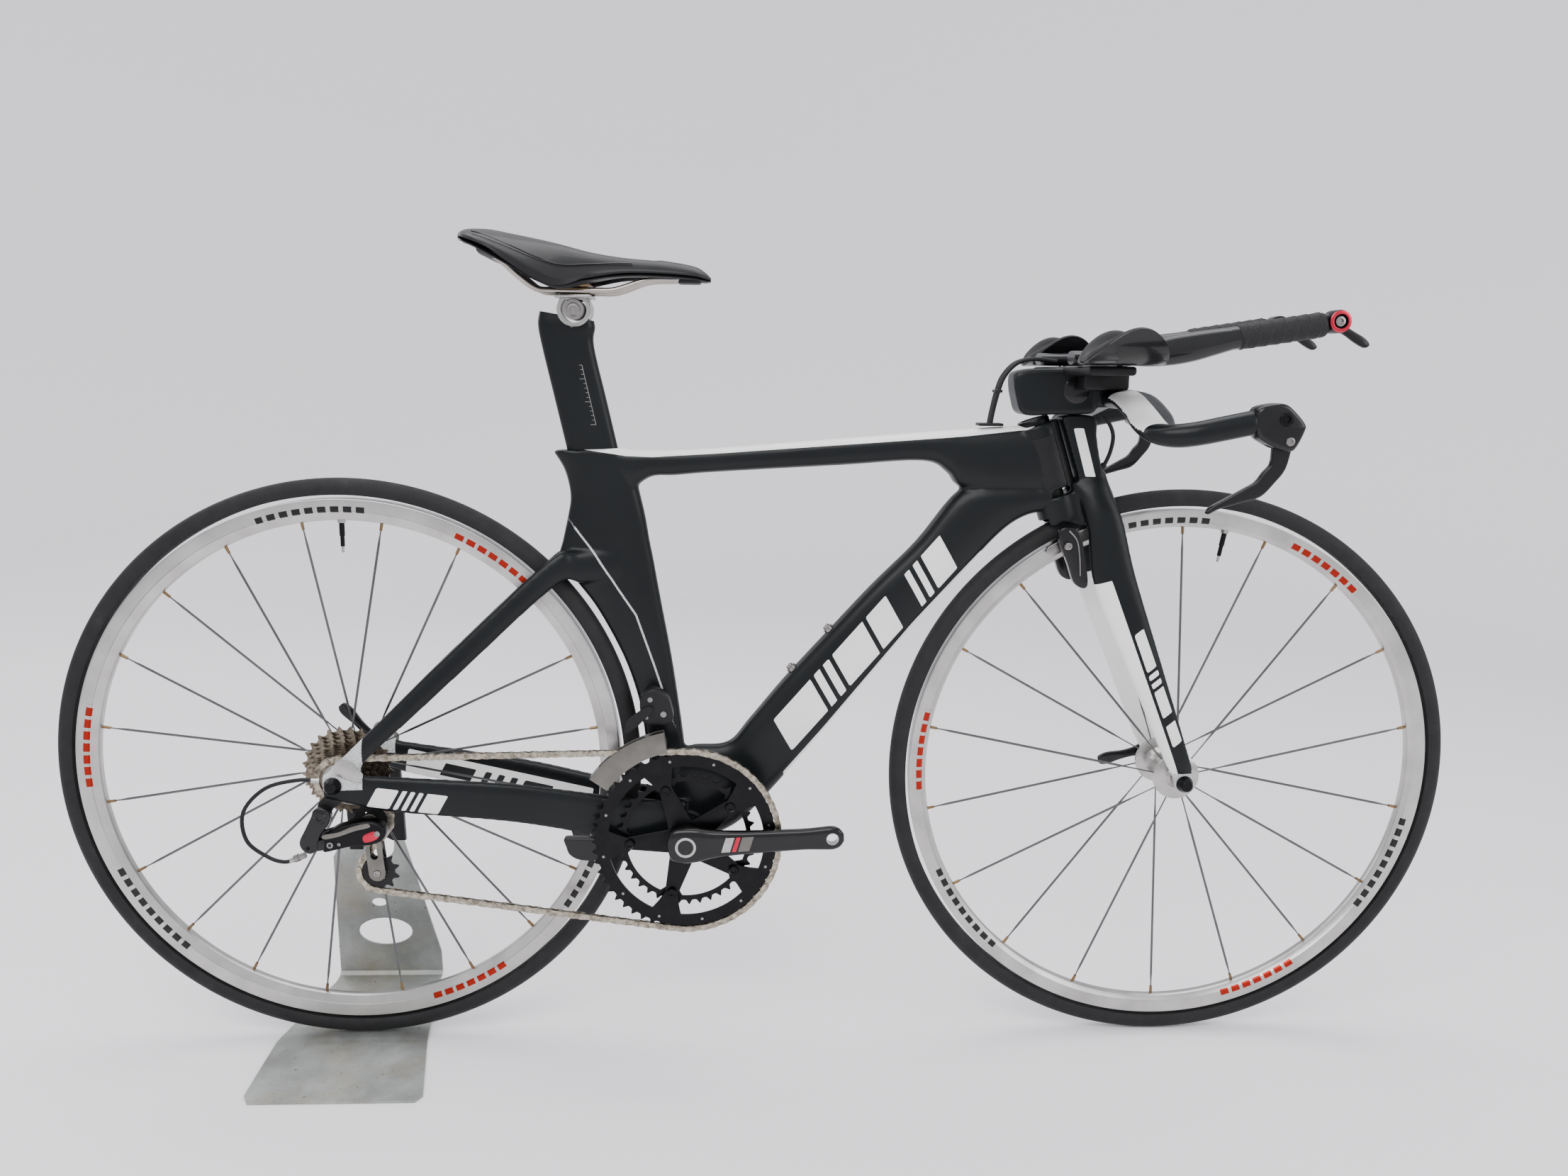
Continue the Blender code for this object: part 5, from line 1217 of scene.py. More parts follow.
def bar_marks(point, normal):
    """White band on top of each wing, along its rear edge."""
    x, y, _ = point
    if abs(y) < 0.045 or abs(y) > 0.185 or normal.z < 0.1:
        return -1.0, 1.0
    share = (abs(y) - 0.045) / 0.14
    middle_x = 0.8745 - 0.0090 * max(0.0, share - 0.25)
    return min(middle_x + 0.004 - x, abs(y) - 0.050, 0.180 - abs(y)), 1.0


def build_side(label, side):
    """Brake hood and lever, then the extension and the arm rest of one side."""
    y = side * BAR_Y
    hood = plate(rounded([
        (0.9480, 0.7635), (0.9500, 0.7400), (0.9600, 0.7315), (0.9720, 0.7262),
        (0.9840, 0.7240), (0.9900, 0.7290), (0.9966, 0.7440), (0.9966, 0.7510),
        (0.9860, 0.7630), (0.9760, 0.7700), (0.9620, 0.7700)]), y, 0.0125, rounding=0.004)
    hood_obj = loose("hood_" + label, hood)
    cut_away(hood_obj, cuboid((0.9870, y, 0.7265), (0.0480, 0.0096, 0.0370)), "lever_slot")
    settle(hood_obj, "steerer", "gloss", ["brake_hood_" + label])
    for name, at, radius, material in (("clamp", (0.9765, 0.7555), 0.0070, "black_metal"),
                                       ("pivot", (0.9817, 0.7340), 0.0048, "steel")):
        screws = joined(*(bolt(at, side * (BAR_Y + out * 0.0122), out * side, radius, 0.0022)
                          for out in (1.0, -1.0)))
        piece("hood_%s_%s" % (name, label), screws, "steerer", material)
    blade = rounded([
        (0.9700, 0.7280), (0.9690, 0.7120), (0.9620, 0.7030), (0.9549, 0.6933),
        (0.9430, 0.6862), (0.9240, 0.6752), (0.9106, 0.6675), (0.9088, 0.6610),
        (0.9200, 0.6665), (0.9429, 0.6735), (0.9604, 0.6790), (0.9737, 0.6930),
        (0.9835, 0.7070), (0.9882, 0.7290), (0.9885, 0.7370), (0.9817, 0.7402),
        (0.9750, 0.7370)])
    body = "lever_" + label
    piece("blade_" + label, plate(blade, y, 0.0042, rounding=0.0014), body, "gloss",
          ["brake_lever_" + label])
    piece("lever_pin_" + label, cross_rod((0.9817, 0.7321), y - 0.0124, y + 0.0124, 0.0028, 18),
          "steerer", "steel")
    build_extension(label, side)
    build_rest(label, side)


def build_extension(label, side):
    """Aero bar, its wound grip, the bar-end pod and the shift paddle."""
    y = side * EXTENSION_Y
    stations = [(0.8000, y, 0.8138, 0.0150, 0.0072), (0.8300, y, 0.8140, 0.0152, 0.0076),
                (0.8550, y, 0.8155, 0.0150, 0.0090), (0.8850, y, 0.8190, 0.0142, 0.0135),
                (0.9080, y, 0.8228, 0.0140, 0.0158), (0.9300, y, 0.8268, 0.0136, 0.0156),
                (0.9500, y, 0.8312, 0.0130, 0.0142), (0.9700, y, 0.8355, 0.0124, 0.0124),
                (0.9800, y, 0.8374, 0.0122, 0.0122), (1.0650, y, 0.8512, 0.0118, 0.0118)]
    piece("aero_bar_" + label, path_loft(stations, 2.1, 6), "steerer", "carbon",
          ["extension_" + label])
    piece("grip_wrap_" + label, wound_tape(Vector((0.9790, y, 0.8376)),
                                           Vector((1.0710, y, 0.8522))),
          "steerer", "tape", angle=60.0)
    pod = (1.0846, 0.8553)
    inner, outer = y - side * 0.0086, y + side * 0.0126
    shell = [(0.0, inner), (0.0112, inner), (0.0124, inner + side * 0.0012),
             (0.0124, outer - side * 0.0030), (0.0114, outer), (0.0090, outer)]
    cup = turned(shell + [(0.0088, outer - side * 0.0030), (0.0, outer - side * 0.0030)],
                 pod, 40, open_ends=True)
    neck = rod((1.0700, y, 0.8520), (1.0780, y, 0.8540), 0.0112, 28, 0.0106)
    piece("shift_pod_" + label, joined(cup, neck), "steerer", "black_metal")
    ring = turned([(0.0078, outer - side * 0.0004), (0.0116, outer - side * 0.0004),
                   (0.0116, outer + side * 0.0003), (0.0104, outer + side * 0.0010),
                   (0.0078, outer + side * 0.0006)], pod, 40)
    piece("pod_ring_" + label, ring, "steerer", "red")
    piece("pod_bolt_" + label, bolt(pod, outer - side * 0.0032, side, 0.0062, 0.0032),
          "steerer", "steel")
    paddle = rounded([*arc(pod, 0.0082, 50.0, 280.0, 7), (1.0990, 0.8425), (1.1120, 0.8340),
                      (1.1235, 0.8285), (1.1292, 0.8320), (1.1230, 0.8392), (1.1080, 0.8475),
                      (1.0950, 0.8560)])
    piece("shift_paddle_" + label, plate(paddle, y - side * 0.0109, 0.0019, rounding=0.0007),
          "shifter_" + label, "gloss", ["shift_lever_" + label])


def wound_tape(start, end):
    """Grip whose overlapping turns of tape stand up along one edge."""
    turns, wind, count, sides = 7.0, 0.0009, 96, 28
    up = (end - start).normalized().cross(SIDEWAYS).normalized()
    rings = []
    for k in range(count + 1):
        share = k / count
        radius = 0.0131 - 0.0010 * max(0.0, 1.0 - share * 40.0) - 0.0008 * max(
            0.0, share * 30.0 - 29.0)
        ring = []
        for n in range(sides):
            a = 2.0 * math.pi * n / sides
            r = radius + wind * ((share * turns + n / sides) % 1.0)
            ring.append(start.lerp(end, share) + SIDEWAYS * r * math.cos(a) + up * r * math.sin(a))
        rings.append(ring)
    return skin(rings)


def rest_rim(x):
    """Height of the arm rest's rim at a point along it."""
    share = max(0.0, min(1.0, (x - 0.7955) / 0.0845))
    return 0.8065 + 0.0348 * max(0.0, math.sin(math.pi * share ** 1.2)) ** 0.7


def cup_shape(side, radius, thick, x0, x1, lift=0.0):
    """Trough along X whose rim follows the arm rest's outline, thinner towards its edges."""
    axis_z, widest = 0.858, 72.0
    rings = []
    for i in range(25):
        share = i / 24
        x = x0 + (x1 - x0) * share
        drop = max(-0.95, min(0.95, (axis_z - rest_rim(x) - lift) / radius))
        reach = min(widest, math.degrees(math.acos(drop)))
        outer, inner = [], []
        for k in range(21):
            a = math.radians(-reach + 2.0 * reach * k / 20)
            soft = thick * (0.35 + 0.65 * math.sqrt(max(0.0, 1.0 - (2.0 * k / 20 - 1.0) ** 6)))
            soft *= 0.45 + 0.55 * math.sqrt(max(0.0, 1.0 - (2.0 * share - 1.0) ** 8))
            for row, r in ((outer, radius), (inner, radius - soft)):
                row.append(Vector((x, side * REST_Y + r * math.sin(a), axis_z - r * math.cos(a))))
        rings.append(outer + inner[::-1])
    return skin(rings)


def build_rest(label, side):
    """Carbon cup with its cushion and screw."""
    piece("rest_cup_" + label, cup_shape(side, 0.0520, 0.0028, 0.7960, 0.8795),
          "steerer", "carbon", ["arm_rest_" + label], 50.0)
    pad = piece("rest_cushion_" + label, cup_shape(side, 0.0488, 0.0100, 0.7975, 0.8780, 0.0004),
                "steerer", "foam", ["arm_pad_" + label], 60.0)
    screw = turned([(0.0, 0.0), (0.0045, 0.0), (0.0040, 0.0022), (0.0, 0.0026)], ORIGIN, 16,
                   open_ends=True)
    transformed(screw, Matrix.Translation((0.8400, side * 0.1120, 0.8050))
                @ Matrix.Rotation(math.pi / 2.0, 4, 'X'))
    piece("rest_screw_" + label, screw, "steerer", "steel")


# ---------------------------------------------------------------- wheels
def tyre_profile():
    """Round section, open towards the rim."""
    swell = 0.0114
    centre = TYRE_RADIUS - 0.0002 - swell
    points = []
    for k in range(25):
        a = math.radians(-128.0 + 256.0 * k / 24)
        points.append((centre + swell * math.cos(a) * (1.0 if abs(a) < 1.2 else 1.04),
                       swell * math.sin(a)))
    return points


def both_sides(half):
    """Whole profile from the half with y above zero, which ends towards the middle."""
    return [(r, -y) for r, y in half] + half[::-1]


def rim_profile(inner):
    return both_sides([(0.3108, 0.0092), (0.3104, 0.0094), (0.3085, 0.0094), (0.3000, 0.0088),
                       (0.2972, 0.0086), (0.2966, 0.0078), (inner + 0.0012, 0.0052),
                       (inner, 0.0030)])


def spoke(start, end, width, thick):
    """Flat bladed spoke, broad face turned sideways."""
    start, end = Vector(start), Vector(end)
    along = (end - start).normalized()
    broad = along.cross(SIDEWAYS).normalized()
    flat = along.cross(broad)
    rings = [section(start.lerp(end, share), broad, flat, w, t, 8, 2.0)
             for share, w, t in ((0.0, thick, thick), (0.12, thick, thick),
                                 (0.18, width, thick * 0.5), (0.90, width, thick * 0.5),
                                 (0.94, thick, thick), (1.0, thick, thick))]
    return skin(rings)


def build_spokes(name, body, axle, count, first, flanges, near, far, lean):
    """Spokes from both flanges; lean in degrees crosses pairs of them, 0 is radial."""
    blades, nipples, heads = [], [], []
    for k in range(count):
        a = math.radians(first + 360.0 * k / count)
        y = flanges[k % 2]
        x0, z0 = polar(axle, near, a + math.radians(lean if k % 4 < 2 else -lean))
        x1, z1 = polar(axle, far, a)
        start, end = Vector((x0, y, z0)), Vector((x1, y * 0.02, z1))
        blades.append(spoke(start, end, 0.0015, 0.0008))
        inner = end + (start - end).normalized() * 0.0110
        nipples.append(rod(inner, end, 0.0016, 10, 0.0019))
        heads.append(cross_rod((x0, z0), y - 0.0020, y + 0.0020, 0.0017, 10))
    piece(name + "_spokes", joined(*blades), body, "spoke")
    piece(name + "_nipples", joined(*nipples), body, "bronze")
    piece(name + "_spoke_heads", joined(*heads), body, "steel")


def build_valve(name, body, axle, heading, inner):
    """Stem, nut and tip; parts are placed by their distance from the rim's inside."""
    def part(start, end, radius, sides):
        (x0, z0), (x1, z1) = (polar(axle, inner + r, math.radians(heading)) for r in (start, end))
        return rod((x0, 0.0, z0), (x1, 0.0, z1), radius, sides)

    piece(name + "_valve", joined(part(0.002, -0.018, 0.0030, 14),
                                  part(-0.017, -0.030, 0.0024, 14)), body, "black_metal")
    piece(name + "_valve_tip", joined(part(-0.029, -0.037, 0.0015, 12),
                                      part(0.001, -0.003, 0.0046, 6)), body, "silver")


def build_wheel(name, axle, inner, valve_heading):
    body = name + "_wheel"
    piece(name + "_tyre_skin", turned(tyre_profile(), axle, 240), body, "tyre",
          [name + "_tyre"], 50.0)
    piece(name + "_rim_skin", turned(rim_profile(inner), axle, 240), body, name + "_rim",
          [name + "_rim"], 30.0)
    build_valve(name, body, axle, valve_heading, inner)


def build_wheels():
    build_wheel("front", FRONT_AXLE, 0.2905, 80.0)
    build_wheel("rear", REAR_AXLE, 0.2862, 90.0)
    front = both_sides([(0.0052, 0.0494), (0.0086, 0.0494), (0.0090, 0.0485), (0.0094, 0.0400),
                        (0.0130, 0.0360), (0.0255, 0.0345), (0.0270, 0.0335), (0.0270, 0.0308),
                        (0.0255, 0.0300), (0.0165, 0.0285), (0.0125, 0.0230), (0.0112, 0.0120)])
    rear = [(0.0060, -0.0180), (0.0150, -0.0188), (0.0255, -0.0183), (0.0262, -0.0172),
            (0.0262, -0.0148), (0.0250, -0.0140), (0.0180, -0.0125), (0.0135, -0.0080),
            (0.0120, 0.0060), (0.0130, 0.0260), (0.0160, 0.0330), (0.0222, 0.0342),
            (0.0232, 0.0350), (0.0232, 0.0374), (0.0220, 0.0382), (0.0130, 0.0400),
            (0.0100, 0.0480), (0.0096, 0.0630), (0.0060, 0.0634)]
    for name, profile, axle in (("front", front, FRONT_AXLE), ("rear", rear, REAR_AXLE)):
        piece(name + "_hub_shell", turned(profile, axle, 64), name + "_wheel", "silver",
              [name + "_hub"], 30.0)
    build_spokes("front", "front_wheel", FRONT_AXLE, 18, 10.0, (-0.0322, 0.0322), 0.0215,
                 0.2930, 0.0)
    build_spokes("rear", "rear_wheel", REAR_AXLE, 20, 9.0, (-0.0160, 0.0360), 0.0200,
                 0.2885, 9.0)
    build_skewer("front", FRONT_AXLE, 0.0614, "steerer", 0.0765, 193.0)
    build_skewer("rear", REAR_AXLE, 0.0774, "frame", 0.0927, 130.0)


def build_skewer(name, axle, face, body, lever_y, heading):
    """Quick release: nut, cam housing and rod, and the lever lying flat along a heading."""
    nut = [(0.0, -face - 0.0100), (0.0055, -face - 0.0100), (0.0068, -face - 0.0088),
           (0.0078, -face - 0.0040), (0.0095, -face - 0.0016), (0.0098, -face), (0.0, -face)]
    cam = [(0.0, face), (0.0092, face), (0.0095, face + 0.0014), (0.0085, face + 0.0040),
           (0.0078, face + 0.0096), (0.0, face + 0.0100)]
    piece(name + "_skewer_ends",
          joined(turned(nut, axle, 36, open_ends=True), turned(cam, axle, 36, open_ends=True),
                 cross_rod(axle, -face, face, 0.0024, 12)),
          body, "black_metal", [name + "_skewer"])
    c, s = math.cos(math.radians(heading)), math.sin(math.radians(heading))

    def at(along, out):
        return axle[0] + along * c - out * s, axle[1] + along * s + out * c

    outline = rounded([at(along, out) for along, out in (
        (-0.0036, 0.0), (-0.0032, 0.0058), (0.0040, 0.0084), (0.0170, 0.0056), (0.0340, 0.0058),
        (0.0520, 0.0076), (0.0605, 0.0050), (0.0620, 0.0), (0.0600, -0.0048), (0.0480, -0.0068),
        (0.0300, -0.0046), (0.0150, -0.0052), (0.0040, -0.0082), (-0.0032, -0.0058))])
    lever = plate(outline, lever_y, 0.0026, rounding=0.0012)
    for vert in lever.verts:
        run = (vert.co.x - axle[0]) * c + (vert.co.z - axle[1]) * s
        vert.co.y -= 0.0030 * (max(0.0, run) / 0.062) ** 2
    (x0, z0), (x1, z1) = at(0.0, -0.0072), at(0.0, 0.0072)
    barrel = rod((x0, lever_y, z0), (x1, lever_y, z1), 0.0043, 24)
    piece(name + "_cam_lever", joined(lever, barrel), name + "_lever", "gloss",
          [name + "_release"])


# ---------------------------------------------------------------- drive train
def toothed(teeth, tip, root, y, half, holes, first=0.0):
    """Sprocket or ring with its teeth, first turned by some degrees."""
    outline = []
    for k in range(teeth):
        for share, reach in ((0.02, 0.0), (0.22, 0.10), (0.36, 0.62), (0.46, 1.0),
                             (0.54, 1.0), (0.64, 0.62), (0.78, 0.10)):
            outline.append(polar(ORIGIN, root + (tip - root) * reach,
                                 2.0 * math.pi * (k + share) / teeth + math.radians(first)))
    return plate(outline, y, half, holes)


def tabbed_hole(clear, reach, first):
    """Inside edge of a chain ring, with five rounded tabs for its bolts."""
    loop = []
    for k in range(180):
        a = 2.0 * k
        off = min(abs((a - first - 72.0 * n + 180.0) % 360.0 - 180.0) for n in range(5))
        dip = max(0.0, 1.0 - (off / 9.5) ** 2) ** 0.5
        loop.append(polar(ORIGIN, clear - (clear - reach) * dip, math.radians(a)))
    return loop


def build_cassette():
    """Ten sprockets, lock ring and spacers."""
    bore, discs = 0.0170, []
    for i, teeth in enumerate(COGS):
        r = roller_radius(teeth)
        holes = [circle(bore, 32)]
        if teeth > 18:  # only the big ones are cut out
            web = r - 0.006
            for n in range(5):
                centre = polar(ORIGIN, 0.5 * (bore + web) + 0.001,
                               math.radians(72.0 * n + 4.0 * i))
                holes.append(circle((web - bore) * 0.32, 14, centre))
        discs.append(toothed(teeth, r + 0.0012, r - 0.0036, COG_Y + COG_SPACING * i, 0.00075,
                             holes, 7.0 * i))
    lock = [(0.0125, -0.0030), (0.0165, -0.0030), (0.0178, -0.0020), (0.0178, -0.0006),
            (0.0125, -0.0006)]
    last = COG_SPACING * (len(COGS) - 1)
    spacer = [(0.0169, -0.0006), (0.0190, -0.0006), (0.0190, last), (0.0169, last)]
    rings = [turned([(r, COG_Y + y) for r, y in profile], ORIGIN, steps)
             for profile, steps in ((lock, 48), (spacer, 40))]
    piece("sprocket_stack", moved(joined(*discs), REAR_AXLE), "cogs", "cogs", ["cassette"])
    piece("sprocket_spacers", moved(joined(*rings), REAR_AXLE), "cogs", "silver")


def tangent(c0, r0, s0, c1, r1, s1):
    """Straight run between two wheels that a belt passes round in senses s0 and s1."""
    dx, dz = c1[0] - c0[0], c1[1] - c0[1]
    reach = math.hypot(dx, dz)
    base = math.atan2(dz, dx)
    heading = base - math.asin((s1 * r1 - s0 * r0) / reach)
    nx, nz = math.sin(heading), -math.cos(heading)
    return ((c0[0] + s0 * r0 * nx, c0[1] + s0 * r0 * nz),
            (c1[0] + s1 * r1 * nx, c1[1] + s1 * r1 * nz))


def chain_route():
    """Points along the whole chain, and the four straight runs between its wheels."""
    wheels = [(REAR_AXLE, roller_radius(COGS[0]), 1.0, COG_Y),
              (GUIDE, roller_radius(PULLEY_TEETH), -1.0, COG_Y),
              (TENSION, roller_radius(PULLEY_TEETH), 1.0, COG_Y),
              (CRANK_AXIS, roller_radius(BIG_TEETH), 1.0, BIG_RING_Y)]
    runs = [tangent(*wheels[i][:3], *wheels[(i + 1) % 4][:3]) for i in range(4)]
    route = []
    for i, (centre, radius, sense, y) in enumerate(wheels):
        arrive, leave = runs[i - 1][1], runs[i][0]
        a0, a1 = (math.atan2(at[1] - centre[1], at[0] - centre[0]) for at in (arrive, leave))
        sweep = (a1 - a0) * sense % (2.0 * math.pi) * sense
        steps = max(4, int(abs(sweep) * radius / 0.002))
        for k in range(steps + 1):
            x, z = polar(centre, radius, a0 + sweep * k / steps)
            route.append(Vector((x, y, z)))
    route.append(route[0].copy())
    return route, runs


def evenly(route, count):
    """Points the same distance apart along a route."""
    lengths = [0.0]
    for a, b in zip(route, route[1:]):
        lengths.append(lengths[-1] + (b - a).length)
    points, i = [], 0
    for k in range(count):
        want = lengths[-1] * k / count
        while lengths[i + 1] < want:
            i += 1
        share = (want - lengths[i]) / max(lengths[i + 1] - lengths[i], 1e-9)
        points.append(route[i].lerp(route[i + 1], share))
    return points


def link_plate(a, b, offset, half, reach):
    """Waisted side plate of one chain link."""
    length = (b - a).length
    u = (b - a) / length
    v = Vector((-u.z, 0.0, u.x))
    shape = []
    for k in range(24):
        t = 2.0 * math.pi * k / 24
        x = (length / 2.0 + reach) * math.cos(t)
        waist = 0.72 + 0.28 * min(1.0, abs(x) / (length / 2.0))
        shape.append((x, reach * waist * math.copysign(abs(math.sin(t)) ** 0.55, math.sin(t))))
    return skin([[(a + b) / 2.0 + u * x + v * z + Vector((0.0, offset + y, 0.0))
                  for x, z in shape] for y in (-half, half)])


def build_chain():
    """Chain in stretches; the top one rides with the frame and the others are left unattached."""
    route, runs = chain_route()
    (leaves_cog, meets_guide), (leaves_pulley, meets_ring) = runs[0], runs[2]
    halfway, rest = (tuple(a + (b - a) * share for a, b in zip(leaves_pulley, meets_ring))
                     for share in (0.5, 0.38))
    bends = {"exit": ("frame", "shifting_block", leaves_cog, meets_guide),
             "pulleys": ("shifting_block", "cage", (GUIDE[0], GUIDE[1] - 0.018),
                         (TENSION[0], TENSION[1] + 0.018)),
             "rear": ("shifting_block", "cage", rest, leaves_pulley),
             "front": ("frame", "shifting_block", meets_ring, halfway)}

    def stretch(at):
        if at.x > meets_ring[0] or at.z > 0.330 or (at.x < leaves_cog[0] and at.z > 0.300):
            return "top"
        if at.z > 0.300 and at.x < meets_guide[0]:
            return "exit"
        if at.x < leaves_pulley[0] or at.z > 0.212:
            return "pulleys"
        return "rear" if at.x < halfway[0] else "front"

    total = sum((b - a).length for a, b in zip(route, route[1:]))
    count = 2 * round(total / PITCH / 2.0)  # inner and outer links take turns
    pins = evenly(route, count)
    plates = {name: [] for name in ("top", *bends)}
    rollers = {name: [] for name in plates}
    for k, a in enumerate(pins):
        b = pins[(k + 1) % count]
        name = stretch((a + b) / 2.0)
        offset = 0.0024 if k % 2 else 0.0015
        for side in (-1.0, 1.0):
            plates[name].append(link_plate(a, b, side * offset, 0.0004, 0.0040))
        for half, radius, sides in ((0.0027, 0.0017, 8), (0.0010, 0.0036, 12)):
            across = Vector((0.0, half, 0.0))
            rollers[name].append(rod(a - across, a + across, radius, sides))
    piece("chain_plates_top", joined(*plates["top"]), "frame", "chain", ["chain"], 35.0)
    piece("chain_rollers_top", joined(*rollers["top"]), "frame", "steel", angle=35.0)
    for name, (first, second, start, end) in bends.items():
        for kind, parts, material in (("plates", plates, "chain"), ("rollers", rollers, "steel")):
            obj = piece("chain_%s_%s" % (kind, name), joined(*parts[name]), "", material,
                        angle=35.0)
            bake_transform(obj)


def build_rings():
    """Two chain rings, their rivets and bolts, and the spider."""
    big, small = roller_radius(BIG_TEETH), roller_radius(SMALL_TEETH)
    first = 39.0
    angles = [math.radians(first + 72.0 * n) for n in range(5)]
    bolts_at = [polar(ORIGIN, 0.065, a) for a in angles]
    outer = toothed(BIG_TEETH, big + 0.0013, big - 0.0042, BIG_RING_Y, 0.0009,
                    [tabbed_hole(0.0895, 0.0590, first)])
    rivets = [turned([(0.0, -0.0013), (0.0016, -0.0011), (0.0018, 0.0), (0.0, 0.0)],
                     polar(ORIGIN, big - 0.0105, math.radians(30.0 * k + 11.0)), 12,
                     open_ends=True) for k in range(12)]
    piece("ring_large", moved(outer, CRANK_AXIS), "crank", "black_metal", ["chainring_large"])
    piece("ring_rivets", moved(joined(*rivets), CRANK_AXIS, BIG_RING_Y), "crank", "steel")
    inner = toothed(SMALL_TEETH, small + 0.0013, small - 0.0042, SMALL_RING_Y, 0.0009,
                    [tabbed_hole(0.0695, 0.0590, first)])
    piece("ring_small", moved(inner, CRANK_AXIS), "crank", "black_metal", ["chainring_small"])
    screws = [bolt(at, BIG_RING_Y - 0.0012, -1.0, 0.0056, 0.0020) for at in bolts_at]
    screws += [cross_rod(at, BIG_RING_Y - 0.0008, SMALL_RING_Y + 0.0012, 0.0048, 20)
               for at in bolts_at]
    piece("ring_bolts", moved(joined(*screws), CRANK_AXIS), "crank", "black_metal")
    arms = [plate(capsule(polar(ORIGIN, 0.012, a), 0.0150, end, 0.0078), -0.0436, 0.0019,
                  rounding=0.0008) for a, end in zip(angles, bolts_at)]
    hub = turned([(0.0128, -0.0456), (0.0230, -0.0456), (0.0245, -0.0440), (0.0245, -0.0425),
                  (0.0225, -0.0415), (0.0128, -0.0415)], ORIGIN, 48)
    piece("spider", moved(joined(*arms, hub), CRANK_AXIS), "crank", "black_metal")


def crank_arm(side, heading, y_root, y_eye):
    """Arm from the crank axis to the pedal eye."""
    # reach, half width, half thickness
    stations = ((-0.0200, 0.0080, 0.0040), (-0.0170, 0.0160, 0.0062), (-0.0080, 0.0205, 0.0074),
                (0.0100, 0.0205, 0.0076), (0.0300, 0.0165, 0.0070), (0.0600, 0.0140, 0.0066),
                (0.1000, 0.0128, 0.0062), (0.1350, 0.0122, 0.0060), (0.1550, 0.0132, 0.0060),
                (0.1680, 0.0136, 0.0060), (0.1760, 0.0105, 0.0056), (0.1808, 0.0045, 0.0036))
    c, s = math.cos(heading), math.sin(heading)
    along, across = Vector((c, 0.0, s)), Vector((-s, 0.0, c))
    rings = []
    for reach, half, thick in catmull(stations, 4):
        share = max(0.0, min(1.0, reach / CRANK_LENGTH))
        y = side * (y_root + (y_eye - y_root) * share)
        centre = Vector((CRANK_AXIS[0], y, CRANK_AXIS[1])) + along * reach
        rings.append(section(centre, across, SIDEWAYS, half, thick, 28, 3.2))
    return skin(rings)


def build_cranks():
    tilt = math.radians(3.0)
    for label, side, heading in (("right", -1.0, tilt), ("left", 1.0, tilt + math.pi)):
        eye = polar(CRANK_AXIS, CRANK_LENGTH, heading)
        arm = loose("arm_" + label, crank_arm(side, heading, 0.0603, 0.0606))
        cut_away(arm, cross_rod(eye, -0.09, 0.09, 0.0071, 40), "pedal_eye")
        settle(arm, "crank", "gloss", ["crank_" + label], 35.0)
        thread = [(0.0066, 0.0552), (0.0074, 0.0552), (0.0074, 0.0660), (0.0066, 0.0660)]
        piece("pedal_thread_" + label, turned([(r, side * y) for r, y in thread], eye, 40),
              "crank", "silver")
        cover = [(0.0, 0.0672), (0.0086, 0.0672), (0.0090, 0.0684), (0.0118, 0.0684),
                 (0.0122, 0.0672), (0.0122, 0.0650), (0.0, 0.0650)]
        piece("arm_bolt_" + label, turned([(r, side * y) for r, y in cover], CRANK_AXIS, 40,
                                          open_ends=True), "crank", "silver")
    for name, start, end, material in (("light", 0.0400, 0.0500, "silver"),
                                       ("red", 0.0520, 0.0570, "red"),
                                       ("dark", 0.0590, 0.0720, "grey")):
        corners = ((start, -0.0085), (end, -0.0085), (end + 0.006, 0.0085),
                   (start + 0.006, 0.0085))
        mark = [(CRANK_AXIS[0] + u * math.cos(tilt) - v * math.sin(tilt),
                 CRANK_AXIS[1] + u * math.sin(tilt) + v * math.cos(tilt)) for u, v in corners]
        piece("arm_mark_" + name, plate(mark, -0.0668, 0.0004, rounding=0.0001), "crank",
              material)
    boss = [(0.0, -0.0560), (0.0200, -0.0560), (0.0205, -0.0545), (0.0205, -0.0430),
            (0.0128, -0.0415), (0.0122, -0.0400), (0.0122, 0.0400), (0.0180, 0.0412),
            (0.0185, 0.0550), (0.0175, 0.0560), (0.0, 0.0560)]
    piece("spindle", turned(boss, CRANK_AXIS, 48, open_ends=True), "crank", "black_metal")
    cup = [(0.0124, 0.0397), (0.0208, 0.0397), (0.0210, 0.0404), (0.0195, 0.0408),
           (0.0124, 0.0408)]
    cups = [turned([(r, s * y) for r, y in cup], CRANK_AXIS, 48) for _, s in SIDES]
    piece("bracket_cups", joined(*cups), "frame", "black_metal")


